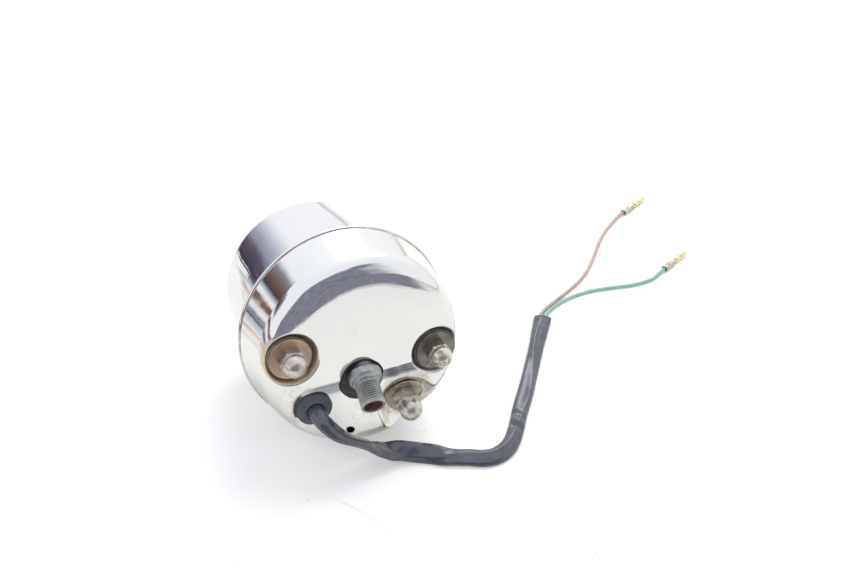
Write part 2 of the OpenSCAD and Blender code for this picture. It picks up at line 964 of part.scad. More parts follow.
module third_cap_nut() {
    color([0.66, 0.64, 0.6])
        resting()
            on_third()
                translate([0, 0, washer_t]) rotate([0, 0, 8])
                    cap_nut(third_nut_af, third_nut_hex_h, third_nut_neck);
}

// Light and harness
module bulb_holder() {
    color([0.15, 0.15, 0.15])
        resting()
            translate([bulb_at[0], bulb_at[1], 0])
                difference() {
                    union() {
                        rod(bulb_socket_r, plate_front - 4, plate_back + 1);
                        rod(bulb_socket_r + 2, plate_back, plate_back + 12);
                    }
                    rod(bulb_r - 0.6 + press, plate_front - 5, plate_back + 6);
                }
}

module bulb() {
    color("lightyellow", 0.6)
        resting()
            translate([bulb_at[0], bulb_at[1], 0])
                union() {
                    rod(bulb_r - 0.6, plate_front - 4.6, plate_back + 5.6);
                    rod(bulb_r, plate_front - 9, plate_front - 4.5);
                    translate([0, 0, plate_front - 9]) sphere(r = bulb_r);
                }
}

module grommet() {
    color([0.12, 0.13, 0.14])
        resting()
            on_grommet()
                difference() {
                    union() {
                        rod(grommet_d / 2, 0, grommet_flange);
                        rod(grommet_neck_r, -sheet_t - 0.1, 0.1);
                        rod(grommet_d / 2 - 0.6, -grommet_inner, -sheet_t);
                    }
                    rod(sleeve_d / 2 + run, -6, 6);
                }
}

// The instrument's frame turned to the ground frame, as a function of a point
function turn_z(v, a) = [v[0] * cos(a) - v[1] * sin(a), v[0] * sin(a) + v[1] * cos(a), v[2]];
function turn_x(v, a) = [v[0], v[1] * cos(a) - v[2] * sin(a), v[1] * sin(a) + v[2] * cos(a)];
function lie(v) = turn_x(turn_z(v, roll), 90 - tilt) + [0, y_shift, seat_z];

// Directions along a curve: tangents and a steady sideways direction for a swept tube
function unit(v) = v / norm(v);
function tangent(p, i) =
    i == 0 ? unit(p[1] - p[0]) :
    i == len(p) - 1 ? unit(p[i] - p[i - 1]) :
    unit(unit(p[i + 1] - p[i]) + unit(p[i] - p[i - 1]));
function side_of(t, last) = unit(last - t * (last * t));
function sides(p, i, last) =
    i == len(p) ? [] :
    let (s = side_of(tangent(p, i), last)) concat([s], sides(p, i + 1, s));

// The same points with one more between each two, on a smooth curve
function between(p, i) =
    let (a = p[max(i - 1, 0)], b = p[i], c = p[i + 1], d = p[min(i + 2, len(p) - 1)])
    (9 * (b + c) - a - d) / 16;
function refined(p) =
    concat([for (i = [0 : len(p) - 2]) each [p[i], between(p, i)]], [p[len(p) - 1]]);

// A tube of a given radius through the points, with n sides
module swept(p, radius, n) {
    s = sides(p, 0, unit(cross(tangent(p, 0), [0.3, 0.4, 0.86])));
    m = len(p);
    ring = [for (i = [0 : m - 1]) let (t = tangent(p, i), u = s[i], w = cross(t, u))
        for (k = [0 : n - 1]) p[i] + radius * (cos(360 * k / n) * u + sin(360 * k / n) * w)];
    skin = [for (i = [0 : m - 2]) for (k = [0 : n - 1])
        let (a = i * n + k, b = i * n + (k + 1) % n)
        each [[a, a + n, b], [b, a + n, b + n]]];
    first = [for (k = [1 : n - 2]) [0, k, k + 1]];
    last = [for (k = [1 : n - 2]) [(m - 1) * n, (m - 1) * n + k + 1, (m - 1) * n + k]];
    polyhedron(points = ring, faces = concat(skin, first, last));
}

// Point on the ground route: an offset from the grommet, at a height above the ground
function at_ground(q, low) = [exit_point[0] + q[0], exit_point[1] + q[1], low + q[2]];

module sleeve() {
    low = sleeve_d / 2 + 0.05;
    route = [for (q = sleeve_route) at_ground([q[0], q[1], q[2] * (exit_point[2] - low)], low)];
    color([0.1, 0.1, 0.11])
        swept(concat([exit_point - exit_dir * (grommet_inner + 1), exit_point + exit_dir * 4.5], route),
            sleeve_d / 2, 12);
}

module wire(route) {
    low = wire_d / 2 + 0.05;
    end = bullet_d / 2 + 0.02;
    n = len(route) - 1;
    swept(refined([for (i = [0 : n]) let (rise = i == 0 ? 1.3 : i == 1 ? 0.7 : i >= n - 1 ? end - low : 0)
        at_ground([route[i][0], route[i][1], rise], low)]), wire_d / 2, 8);
}

module wire_brown() {
    color("saddlebrown") wire(brown_route);
}

module wire_green() {
    color("darkgreen") wire(green_route);
}

// Bullet terminal lying along the ground from the wire's last point
module bullet(route) {
    n = len(route) - 1;
    ahead = route[n] - route[n - 1];
    r = bullet_d / 2;
    crimp = bullet_len * 0.42;
    translate(at_ground([route[n][0], route[n][1], 0], r + 0.02))
        rotate([0, 0, atan2(ahead[1], ahead[0])])
            rotate([0, 90, 0])
                union() {
                    rod(r - 0.2, 0, crimp);
                    rod(r - 0.55, crimp - 0.1, crimp + 1.6);
                    rod(r, crimp + 1.5, bullet_len - 1.4);
                    translate([0, 0, bullet_len - 1.5]) cylinder(r1 = r, r2 = r - 0.8, h = 1.5);
                }
}

module bullet_brown() {
    color("darkkhaki") bullet(brown_route);
}

module bullet_green() {
    color("darkkhaki") bullet(green_route);
}

module inner_leads() {
    low = plate_back + 12 + fit;
    color("saddlebrown") lead(1.25, low);
    color("darkgreen") lead(-1.25, low);
}

// A lead inside the cover, from the sleeve's inner end to the bulb holder
module lead(side, low) {
    top = grommet_base - grommet_axis * (grommet_inner + 1 + fit);
    path = [top + [side, 0, 0], top + [side, 0, 0] - grommet_axis * 3,
        [(top[0] + bulb_at[0]) / 2 + side, (top[1] + bulb_at[1]) / 2, (top[2] + low) / 2],
        [bulb_at[0] + side, bulb_at[1], low + 3], [bulb_at[0] + side, bulb_at[1], low]];
    swept([for (q = refined(path)) lie(q)], wire_d / 2, 8);
}

front_shell();
rear_cover();
rim_seal();
lens_gasket();
lens();
dial_ring();
dial();
dial_screws();
zero_pin();
pointer();
pointer_cap();
light_box();
back_plate();
frame_base();
pillars();
front_bridge();
frame_screws();
field_cup();
magnet();
magnet_spindle();
spindle_bush();
spindle_gear();
drag_cup();
pointer_staff();
hairspring();
spring_stud();
drive_housing();
housing_screws();
input_bush();
input_shaft();
input_pinion();
stub_gasket();
mounting_studs();
damper_left();
damper_right();
damper_sleeves();
washer_left();
washer_right();
cap_nut_left();
cap_nut_right();
third_stud();
third_washer();
third_cap_nut();
grommet();
bulb_holder();
bulb();
inner_leads();
sleeve();
wire_brown();
wire_green();
bullet_brown();
bullet_green();
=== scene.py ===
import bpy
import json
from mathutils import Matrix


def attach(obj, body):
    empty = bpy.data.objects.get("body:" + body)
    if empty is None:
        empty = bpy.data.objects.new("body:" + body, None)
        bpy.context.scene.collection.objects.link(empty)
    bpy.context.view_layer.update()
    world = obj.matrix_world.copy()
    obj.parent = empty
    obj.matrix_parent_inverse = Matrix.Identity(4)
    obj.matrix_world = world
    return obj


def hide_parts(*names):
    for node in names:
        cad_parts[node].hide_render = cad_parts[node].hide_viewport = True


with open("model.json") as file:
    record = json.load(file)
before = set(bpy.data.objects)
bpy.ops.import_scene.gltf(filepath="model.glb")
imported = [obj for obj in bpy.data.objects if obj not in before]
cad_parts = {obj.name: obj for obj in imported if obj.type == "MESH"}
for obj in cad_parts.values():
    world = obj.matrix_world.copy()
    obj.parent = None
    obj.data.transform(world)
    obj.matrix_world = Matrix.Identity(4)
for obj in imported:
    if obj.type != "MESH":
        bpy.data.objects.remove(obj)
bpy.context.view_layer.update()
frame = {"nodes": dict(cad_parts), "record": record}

import json
import math
import random
from math import cos, exp, hypot, pi, radians, sin, tan

import bmesh
import bpy
import numpy as np
from mathutils import Matrix, Vector

scene = bpy.context.scene
nodes = frame["nodes"]

# The instrument's own frame, as in the CAD source: millimetres, origin on its axis at the seam, and +Z out
# of the rear
TILT = 9.0898882
ROLL = -13.3
SEAT_Z = 54.3249916
Y_SHIFT = -8.9673814
STUB_TILT = 28.3
STUB_CROSS = 13.6
COVER_DEPTH = 32.0
SEAT_LEVEL = 27.0
STUD_X = 37.7
RECESS_TURN = 12.0
RECESS_SLOPE = 6.0
BAND_TOP = 9.8
BAND_DROP = 2.2
CAD_BAND_SLOPE = 28
BAND_W = BAND_DROP / tan(radians(CAD_BAND_SLOPE))
BAND_SLOPE = 20
FLOOR_RISE = 5.8
RECESS_LEFT = 38
RECESS_CORNER = 9.0
SEAT_R = 11.3
SEAT_WALL = 2.1
GROMMET_AT = (-22.5, -28.4)
GROMMET_DROP = 3.1631
THIRD_AT = (26.0, -25.6, 26.4)
THIRD_TILT = 20.0
THIRD_SEAT_R = 11.4
# unit direction from the axis out past the third stud
THIRD_OUT = (0.7126, -0.7016)
MILLIMETRES = Matrix.Scale(0.001, 4)


def turned(axis, degrees):
    return Matrix.Rotation(radians(degrees), 4, axis)


def moved(x, y, z):
    return Matrix.Translation((x, y, z))


INSTRUMENT = (moved(0, Y_SHIFT / 1000, SEAT_Z / 1000) @ turned("X", 90 - TILT) @ turned("Z", ROLL)
              @ MILLIMETRES)
STUB = INSTRUMENT @ moved(0, 0, STUB_CROSS) @ turned("X", STUB_TILT)
THIRD = INSTRUMENT @ moved(*THIRD_AT) @ turned("X", THIRD_TILT)
GROMMET = (INSTRUMENT @ moved(GROMMET_AT[0], GROMMET_AT[1], COVER_DEPTH - GROMMET_DROP)
           @ turned("Z", RECESS_TURN) @ turned("X", RECESS_SLOPE))
LEFT = INSTRUMENT @ moved(-STUD_X, 0, 0)
RIGHT = INSTRUMENT @ moved(STUD_X, 0, 0)


# Camera, as fitted to the photograph; the focal length is in pixels of a picture this wide
PICTURE_WIDTH, FOCAL_LENGTH, SENSOR_WIDTH = 860, 1060, 36


def make_camera():
    data = bpy.data.cameras.new("camera")
    data.sensor_width = SENSOR_WIDTH
    data.sensor_fit = "HORIZONTAL"
    data.lens = SENSOR_WIDTH * FOCAL_LENGTH / PICTURE_WIDTH
    data.clip_start = 0.01
    data.clip_end = 50
    camera = bpy.data.objects.new("camera", data)
    scene.collection.objects.link(camera)
    camera.location = (-0.1307, -0.4106, 0.3892)
    camera.rotation_euler = Vector((0.3264, 0.7360, -0.5931)).to_track_quat("-Z", "Y").to_euler()
    scene.camera = camera


# Mesh helpers
def new_object(name, points, faces, material, smooth=True):
    mesh = bpy.data.meshes.new(name)
    mesh.from_pydata([tuple(p) for p in points], [], [tuple(f) for f in faces])
    mesh.validate()
    piece = bpy.data.objects.new(name, mesh)
    scene.collection.objects.link(piece)
    if smooth:
        mesh.polygons.foreach_set("use_smooth", [True] * len(mesh.polygons))
    mesh.materials.append(LOOKS[material])
    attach(piece, "case")
    return piece


def reworked(piece, work):
    """Runs work(bm) on a piece's mesh."""
    bm = bmesh.new()
    bm.from_mesh(piece.data)
    work(bm)
    bm.to_mesh(piece.data)
    bm.free()


def face_outwards(piece):
    reworked(piece, lambda bm: bmesh.ops.recalc_face_normals(bm, faces=bm.faces))


def arc(x, y, radius, angles):
    """Points of a profile on a circle round (x, y), at angles in degrees."""
    return [(x + radius * cos(radians(a)), y + radius * sin(radians(a))) for a in angles]


def rounded(corners, radius, steps=4):
    """A closed profile whose corners are rounded; a corner may give its own radius as a third number."""
    out = []
    n = len(corners)
    for i in range(n):
        p = Vector(corners[i][:2])
        r = corners[i][2] if len(corners[i]) > 2 else radius
        a, b = Vector(corners[i - 1][:2]) - p, Vector(corners[(i + 1) % n][:2]) - p
        r = min(r, 0.45 * a.length, 0.45 * b.length)
        if r < 1e-4 or p.x < 1e-6:
            out.append((p.x, p.y))
            continue
        a, b = p + a.normalized() * r, p + b.normalized() * r
        for s in range(steps + 1):
            t = s / steps
            q = a * (1 - t) ** 2 + p * 2 * t * (1 - t) + b * t * t
            out.append((q.x, q.y))
    return out


def turned_piece(name, profile, matrix, material, turns=96, reach=None):
    """A closed profile of (radius, height) turned about +Z; reach(radius, height, angle) may shape it."""
    points, faces, rows = [], [], []
    for r, z in profile:
        if r < 1e-6:
            rows.append([len(points)] * turns)
            points.append(matrix @ Vector((0, 0, z)))
            continue
        rows.append(range(len(points), len(points) + turns))
        for k in range(turns):
            a = 2 * pi * k / turns
            rr, zz = reach(r, z, a) if reach else (r, z)
            points.append(matrix @ Vector((rr * cos(a), rr * sin(a), zz)))
    for low, high in zip(rows, rows[1:] + rows[:1]):
        for k in range(turns):
            n = (k + 1) % turns
            face = [low[k], low[n], high[n], high[k]]
            face = [v for i, v in enumerate(face) if v != face[i - 1]]
            if len(face) > 2:
                faces.append(face)
    piece = new_object(name, points, faces, material)
    face_outwards(piece)
    return piece


# Cords
EXIT = Vector((-28.4299372, -40.9907451, 36.7006720))
EXIT_DIR = Vector((-0.0023715, -0.9985420, 0.0539292))
SLEEVE_ROUTE = [(1.5, -10.5, 0.95), (7.5, -15, 0.75), (17, -15.5, 0.49), (28, -15.5, 0.25), (38, -16.5, 0.09),
                (48, -19, 0), (58, -25, 0), (69.5, -30.5, 0), (75.5, -34, 0), (81.5, -35.5, 0), (88, -34, 0),
                (94.7, -29.2, 0), (102, -20.5, 0), (109, -11, 0), (119.5, 2, 0), (132, 18.5, 0), (145, 36, 0),
                (159, 55, 0)]
BROWN_ROUTE = [(158.2, 56), (161.3, 60), (170, 65.5), (178, 69.2), (187.7, 73.7), (198, 79.3), (208, 86.5),
               (219, 97.3), (229.6, 108.8), (240.6, 119.4), (250.4, 126.9), (260, 132.8), (265.4, 135.2)]
GREEN_ROUTE = [(160.2, 54.5), (163.6, 58.5), (172.4, 63.3), (181, 66.2), (190.7, 67.6), (201, 67.5),
               (214, 65.2), (226.6, 62.6), (237.4, 62.4), (243.4, 63.8), (248.6, 66), (253.5, 68.2)]
WIRE_R = 1.1
BULLET_R = 1.95
# heights in the sleeve's route are shares of the way from this one up to the exit's
ROUTE_BASE = 4.0
# how far the sleeve, wires and bullets stay off the table, and how much wire is inside the sleeve
SLEEVE_GAP = 0.08
WIRE_GAP = 0.05
BULLET_GAP = 0.02
WIRE_INSIDE = 3.5


def refined(points, times):
    for _ in range(times):
        out = []
        for i in range(len(points) - 1):
            b, c = points[i], points[i + 1]
            a = points[i - 1] if i else 2 * b - c
            d = points[i + 2] if i + 2 < len(points) else 2 * c - b
            out += [b, (9 * (b + c) - a - d) / 16]
        points = out + [points[-1]]
    return points


def line_length(points):
    return sum((b - a).length for a, b in zip(points, points[1:]))


# Along the sleeve: share of its length, width and thickness of its flattened section, and how far the wide
# side is turned
SLEEVE_SHAPE = [(0, 8.0, 8.0, 0), (0.05, 8.2, 7.2, 0), (0.10, 9.6, 5.6, 4), (0.17, 10.2, 4.8, 36),
                (0.23, 10.4, 4.6, -6), (0.28, 10.5, 4.4, -50), (0.34, 10.5, 4.4, -36),
                (0.40, 10.1, 4.5, -6), (0.50, 9.2, 4.5, -22), (0.56, 8.7, 4.8, -12), (0.62, 8.5, 5.0, -6),
                (0.68, 9.0, 4.7, -12), (0.80, 8.6, 4.5, -16), (0.88, 8.5, 4.4, -10), (0.95, 9.6, 4.2, -6),
                (1, 10.5, 4.1, 0)]


def sleeve_shape(share):
    for a, b in zip(SLEEVE_SHAPE, SLEEVE_SHAPE[1:]):
        if share <= b[0]:
            t = (share - a[0]) / (b[0] - a[0])
            t = t * t * (3 - 2 * t)
            return [a[i] + (b[i] - a[i]) * t for i in (1, 2, 3)]
    return list(SLEEVE_SHAPE[-1][1:])


def crumple(share, a):
    """Creases at the bends, a ridge that wanders along the top, and a faint unevenness elsewhere."""
    bend = exp(-((share - 0.60) / 0.045) ** 2)
    early = exp(-((share - 0.36) / 0.05) ** 2)
    wave = sin(share * 190 + 1.2 * cos(a)) * (0.55 * bend + 0.12 * early)
    dent = 0.8 * exp(-((share - 0.585) / 0.008) ** 2) + 0.7 * exp(-((share - 0.63) / 0.007) ** 2)
    ridge = 0.5 * exp(-((a - 1.5 - 0.55 * sin(share * 15 + 0.6)) / 0.26) ** 2)
    uneven = 0.10 * sin(share * 61 + a) + 0.07 * sin(share * 133 - 2 * a)
    return wave + ridge - dent * max(0, sin(a - 0.5)) + uneven


def sleeve_line():
    route = [EXIT + Vector((x, y, 0)) for x, y, _ in SLEEVE_ROUTE]
    for p, (_, _, share) in zip(route, SLEEVE_ROUTE):
        p.z = share
    lead = [EXIT - EXIT_DIR * 5, EXIT + EXIT_DIR * 4.5]
    heights = [EXIT.z - EXIT_DIR.z * 5, EXIT.z + EXIT_DIR.z * 4.5]
    for q, z in zip(lead, heights):
        q.z = (z - ROUTE_BASE) / (EXIT.z - ROUTE_BASE)
    line = refined(lead + route, 3)
    flat = [Vector((p.x, p.y, ROUTE_BASE + max(0, p.z) * (EXIT.z - ROUTE_BASE))) for p in line]
    total, run, out = line_length(flat), 0.0, []
    for i, p in enumerate(line):
        run += (flat[i] - flat[i - 1]).length if i else 0
        wide, tall, turn = sleeve_shape(run / total)
        turn = radians(turn)
        half = hypot(wide / 2 * sin(turn), tall / 2 * cos(turn))
        lift = max(0, p.z)
        out.append(Vector((p.x, p.y, half + SLEEVE_GAP + lift * (EXIT.z - half - SLEEVE_GAP))))
    return out


def wire_line(route):
    low, last = WIRE_R + WIRE_GAP, len(route) - 1
    points = []
    for i, (x, y) in enumerate(route):
        rise = 1.5 if i == 0 else 0.8 if i == 1 else BULLET_R + BULLET_GAP - low if i >= last - 1 else 0
        points.append(Vector((EXIT.x + x, EXIT.y + y, low + rise)))
    back = (points[0] - points[1]).normalized() * WIRE_INSIDE
    points.insert(0, points[0] + Vector((back.x, back.y, 0)))
    return refined(points, 2)


def swept(name, line, section, sides, material, hollow=0):
    """A tube along a line; section(share, angle, inwards) gives the offset across and up, in millimetres."""
    points, faces, rings = [], [], []
    m = len(line)
    total = line_length(line)
    run, up = 0.0, Vector((0, 0, 1))
    stops = []
    for i, p in enumerate(line):
        if i:
            run += (p - line[i - 1]).length
        t = (line[min(i + 1, m - 1)] - line[max(i - 1, 0)]).normalized()
        side = t.cross(up)
        side = side.normalized() if side.length > 1e-3 else Vector((1, 0, 0))
        stops.append((p, side, side.cross(t).normalized(), run / total, 0.0))
    # an open end turns inwards and runs back inside the tube
    if hollow:
        stops += [(*stops[-1 - i][:4], hollow) for i in range(0, 14)]
    for p, side, over, share, inwards in stops:
        ring = []
        for k in range(sides):
            across, rise = section(share, 2 * pi * k / sides, inwards)
            ring.append(len(points))
            points.append((p + side * across + over * rise) / 1000)
        rings.append(ring)
    for a, b in zip(rings, rings[1:]):
        for k in range(sides):
            n = (k + 1) % sides
            faces.append((a[k], a[n], b[n], b[k]))
    faces.append(tuple(reversed(rings[0])))
    faces.append(tuple(rings[-1]))
    piece = new_object(name, points, faces, material)
    face_outwards(piece)
    return piece


def make_cords():
    line = sleeve_line()

    def sleeve_section(share, a, inwards):
        wide, tall, turn = sleeve_shape(share)
        turn = radians(turn)
        fold = crumple(share, a) * min(1, share / 0.12) * min(1, (1 - share) / 0.03 + 0.2)
        across = (wide / 2 - inwards) * math.copysign(abs(cos(a)) ** 0.92, cos(a))
        rise = (tall / 2 - inwards + (fold if sin(a) > 0 else fold * 0.15)) * sin(a)
        return across * cos(turn) - rise * sin(turn), across * sin(turn) + rise * cos(turn)

    def wire_section(share, a, inwards):
        return WIRE_R * cos(a), WIRE_R * sin(a)

    sleeve = swept("sleeve_tube", line, sleeve_section, 72, "sleeve_pvc", hollow=0.65)
    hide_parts("sleeve")
    # the chrome next to the real sleeve does not mirror it
    sleeve.visible_glossy = False
    for colour, route in (("brown", BROWN_ROUTE), ("green", GREEN_ROUTE)):
        line = wire_line(route)
        wire = swept("insulated_wire_" + colour, line, wire_section, 14, "wire_" + colour)
        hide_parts("wire_" + colour)
        terminal = make_bullet(colour, route)


# Materials
LOOKS = {}


class Look:
    """A material's node tree, or another tree that is given; each call adds a node and gives its output."""

    def __init__(self, name, metallic=0.0, roughness=0.5, colour=(0.5, 0.5, 0.5), tree=None):
        self.height = None
        self.tree = tree
        if tree:
            return
        LOOKS[name] = bpy.data.materials.new(name)
        LOOKS[name].use_nodes = True
        self.tree = LOOKS[name].node_tree
        self.surface = self.tree.nodes["Principled BSDF"]
        self.set("Metallic", metallic)
        self.set("Roughness", roughness)
        self.set("Base Color", colour)

    def add(self, kind, settings=None, output=0, **inputs):
        """i0, i1 and so on are sockets by number; any other key is a socket's name, with _ for a space."""
        node = self.tree.nodes.new(kind)
        for key, value in (settings or {}).items():
            setattr(node, key, value)
        for key, value in inputs.items():
            self.put(node.inputs[int(key[1:]) if key[1:].isdigit() else key.replace("_", " ")], value)
        return node.outputs[output]

    def put(self, socket, value):
        if isinstance(value, bpy.types.NodeSocket):
            self.tree.links.new(value, socket)
        elif isinstance(value, (tuple, list)) and len(value) == 3 and socket.type == "RGBA":
            socket.default_value = (*value, 1)
        else:
            socket.default_value = value

    def set(self, name, value):
        self.put(self.surface.inputs[name], value)

    def millimetres(self, matrix=MILLIMETRES):
        """The piece's own coordinates in millimetres, in the row frame or in another frame."""
        location, rotation, scale = matrix.decompose()
        place = self.add("ShaderNodeTexCoord", output=3)
        return self.add("ShaderNodeMapping", {"vector_type": "TEXTURE"}, 0, Vector=place, Location=location,
                        Rotation=rotation.to_euler(), Scale=scale)

    def stretched(self, vector, scale):
        return self.add("ShaderNodeMapping", None, 0, Vector=vector, Scale=scale)

    def noise(self, vector, size, detail=3.0, roughness=0.55, warp=0.0):
        """Noise whose blobs are about size millimetres across, 0 to 1."""
        return self.add("ShaderNodeTexNoise", None, 0, Vector=vector, Scale=1 / size, Detail=detail,
                        Roughness=roughness, Distortion=warp)

    def patches(self, vector, size, low, high, detail=3.0, roughness=0.55, warp=0.0):
        """Patches of noise that fade in from low to high."""
        return self.between(self.noise(vector, size, detail, roughness, warp), low, high)

    def cells(self, vector, size):
        return self.add("ShaderNodeTexVoronoi", None, 0, Vector=vector, Scale=1 / size)

    def dots(self, vector, size, inner, outer):
        """Round dots, one in each cell of about size millimetres; inner and outer are shares of that."""
        return self.between(self.cells(vector, size), outer, inner)

    def maths(self, operation, a, b=0.0, clamp=False):
        return self.add("ShaderNodeMath", {"operation": operation, "use_clamp": clamp}, 0, i0=a, i1=b)

    def folded(self, operation, values):
        total = values[0]
        for value in values[1:]:
            total = self.maths(operation, total, value)
        return total

    def times(self, *values):
        return self.folded("MULTIPLY", values)

    def plus(self, *values):
        return self.folded("ADD", values)

    def most(self, *values):
        return self.folded("MAXIMUM", values)

    def minus(self, a, b):
        return self.maths("SUBTRACT", a, b)

    def without(self, share):
        return self.minus(1.0, share)

    def between(self, value, low, high, to_low=0.0, to_high=1.0):
        """A smooth step up from low to high, or down where low is the larger."""
        return self.add("ShaderNodeMapRange", {"interpolation_type": "SMOOTHSTEP"}, 0, Value=value, i1=low,
                        i2=high, i3=to_low, i4=to_high)

    def between_plain(self, value, low, high):
        return self.add("ShaderNodeMapRange", None, 0, Value=value, i1=low, i2=high)

    def ramp(self, value, stops):
        node = self.tree.nodes.new("ShaderNodeValToRGB")
        self.put(node.inputs[0], value)
        marks = node.color_ramp.elements
        while len(marks) < len(stops):
            marks.new(0.5)
        for mark, (at, colour) in zip(marks, stops):
            mark.position = at
            mark.color = (*colour, 1)
        return node.outputs[0]

    def mix(self, share, a, b, blend="MIX"):
        return self.add("ShaderNodeMix", {"data_type": "RGBA", "blend_type": blend}, 2, i0=share, i6=a, i7=b)

    def spot(self, vector, centre, inner, outer, wobble=None):
        """1 within inner millimetres of a point, 0 beyond outer."""
        away = self.add("ShaderNodeVectorMath", {"operation": "DISTANCE"}, 1, i0=vector, i1=centre)
        if wobble is not None:
            away = self.plus(away, wobble)
        return self.between(away, outer, inner)

    def axes(self, vector):
        node = self.tree.nodes.new("ShaderNodeSeparateXYZ")
        self.put(node.inputs[0], vector)
        return node.outputs

    def length(self, x, y):
        return self.maths("SQRT", self.plus(self.times(x, x), self.times(y, y)))

    def bump(self, height, depth_mm):
        """Adds relief: height 0 to 1 stands for depth_mm."""
        node = self.tree.nodes.new("ShaderNodeBump")
        node.inputs["Strength"].default_value = 1.0
        node.inputs["Distance"].default_value = depth_mm / 1000
        self.put(node.inputs["Height"], height)
        if self.height is not None:
            self.put(node.inputs["Normal"], self.height)
        self.height = node.outputs[0]
        self.set("Normal", self.height)


def chrome(name, tint, with_stains_and_reflections):
    k = Look(name, 1.0, 0.05)
    p = k.millimetres(INSTRUMENT)
    z = k.axes(p)[2]
    smear = k.patches(k.stretched(p, (1.0, 0.35, 1.0)), 5, 0.35, 0.7, 4, 0.65, 0.6)
    haze = k.times(k.patches(p, 16, 0.45, 0.75, 4, 0.6, 0.4), smear)
    lines = k.patches(k.stretched(p, (1.0, 0.06, 0.4)), 0.55, 0.62, 0.72, 2, 0.5, 0.3)
    pit = k.times(k.dots(p, 1.9, 0.05, 0.11), k.patches(p, 7, 0.58, 0.66, 2))
    colour = k.mix(k.times(haze, 0.45), tint, [0.9 * c for c in tint])
    # grime in the groove behind the rolled rim, and rust along the rim
    seam = k.times(k.between(z, -0.55, -0.95), k.between(z, -2.6, -1.6),
                   k.between(k.noise(p, 5, 4, 0.7), 0.25, 0.6, 0.45, 1.0))
    colour = k.mix(seam, colour, (0.30, 0.20, 0.16))
    edge = k.times(k.between(z, 2.1, 1.5), k.between(z, 0.75, 1.1),
                   k.between(k.noise(p, 6, 4, 0.7), 0.3, 0.65, 0.25, 0.8))
    colour = k.mix(edge, colour, (0.46, 0.31, 0.27))
    haze = k.most(haze, seam)
    seats = 0.0
    if with_stains_and_reflections:
        colour, haze, pit, seats = cover_wear(k, p, colour, haze, pit)
    k.set("Base Color", k.mix(k.times(pit, 0.8), colour, (0.16, 0.12, 0.10)))
    rough = k.plus(k.times(haze, 0.16), k.times(lines, 0.10), k.times(seats, 0.24), 0.035)
    k.set("Roughness", k.maths("ADD", rough, k.times(pit, 0.4), True))
    k.bump(k.noise(p, 14, 2, 0.4), 0.05)
    k.bump(lines, 0.003)


def cover_wear(k, p, colour, haze, pit):
    """The cover's stains and painted reflections; gives colour, haze, pits and where the two dampers' seats
    are.
    """
    x, y, z = k.axes(p)
    left, right = (k.spot(p, (side * STUD_X, 0, 29), 12.6, 14.8) for side in (-1, 1))
    seats = k.most(left, right)
    # the left seat's chrome is stained, and painted golden on its lower side: a painted reflection of the
    # brown washer
    golden_stain_and_reflection = k.ramp(k.noise(p, 2.5, 4, 0.6), [(0.3, (0.74, 0.58, 0.34)), (0.7, (0.95, 0.87, 0.68))])
    golden_stain_and_reflection = k.mix(k.between(k.plus(y, k.times(x, 0.25)), 2, -16), (0.78, 0.77, 0.70), golden_stain_and_reflection)
    colour = k.mix(k.times(left, 0.9), colour, golden_stain_and_reflection)
    colour = k.mix(k.times(right, 0.6), colour, (0.72, 0.72, 0.69))
    # the recess's band is dull, and painted dark blue: a painted reflection of the shaded ground below it
    turn = radians(RECESS_TURN)
    v = k.minus(k.times(y, cos(turn)), k.times(x, sin(turn)))
    u = k.plus(k.times(y, sin(turn)), k.times(x, cos(turn)))
    band = k.times(k.between(v, -9.6, -11.2), k.between(v, -18.2, -16.2), k.between(u, -33, -26),
                   k.between(z, 27, 28.2), k.without(seats))
    colour = k.mix(k.times(band, 0.75), colour, (0.30, 0.34, 0.42))
    # dirt round the third stud, with a painted dark brown reflection of the nut and washer; then fainter
    # stains and rust spots
    third = k.times(k.spot(p, (26, -25, 27), 12.5, 16.5, k.between(k.noise(p, 4), 0.0, 1.0, -2.5, 2.5)),
                    k.between(k.noise(p, 3.2, 5, 0.7, 0.8), 0.25, 0.75, 0.35, 1.0))
    dirt = k.ramp(k.noise(p, 2.2, 4, 0.65), [(0.32, (0.33, 0.27, 0.21)), (0.68, (0.66, 0.60, 0.50))])
    colour = k.mix(k.times(third, 0.85), colour, dirt)
    wobble = k.between(k.noise(p, 3.5, 4, 0.6), 0.0, 1.0, -4.0, 4.0)
    low = k.spot(p, (-31, -22, 30), 4, 16, wobble)
    stub = k.spot(p, (3, -33, 29), 3, 13, wobble)
    corner = k.spot(p, (16, -38, 27), 2, 7, wobble)
    faint = k.most(k.times(k.most(low, stub), k.patches(p, 2.2, 0.42, 0.7, 4, 0.7)), corner)
    colour = k.mix(k.times(faint, 0.5), colour, (0.52, 0.40, 0.30))
    rust = k.most(k.times(low, k.patches(p, 1.6, 0.52, 0.6)), k.times(stub, k.patches(p, 1.8, 0.54, 0.62)))
    rust = k.times(k.dots(p, 1.1, 0.08, 0.22), rust)
    colour = k.mix(rust, colour, (0.16, 0.10, 0.07))
    return colour, k.most(haze, k.times(seats, 0.9), k.times(third, 1.6), band), k.most(pit, rust), seats


def rubber(name, dark, light, dust=0.25, frame_of=INSTRUMENT):
    k = Look(name, 0.0, 0.6)
    p = k.millimetres(frame_of)
    mottle = k.noise(p, 3.0, 5, 0.65)
    grime = k.patches(p, 6.0, 0.45, 0.7, 4, 0.6, 0.5)
    colour = k.ramp(mottle, [(0.3, dark), (0.75, light)])
    k.set("Base Color", k.mix(k.times(grime, dust), colour, (0.20, 0.185, 0.165)))
    k.set("Roughness", k.between(mottle, 0.3, 0.8, 0.42, 0.7))
    k.set("Specular IOR Level", 0.45)
    k.bump(k.noise(p, 0.5, 3, 0.6), 0.03)
    k.bump(k.noise(p, 4.0, 2), 0.08)


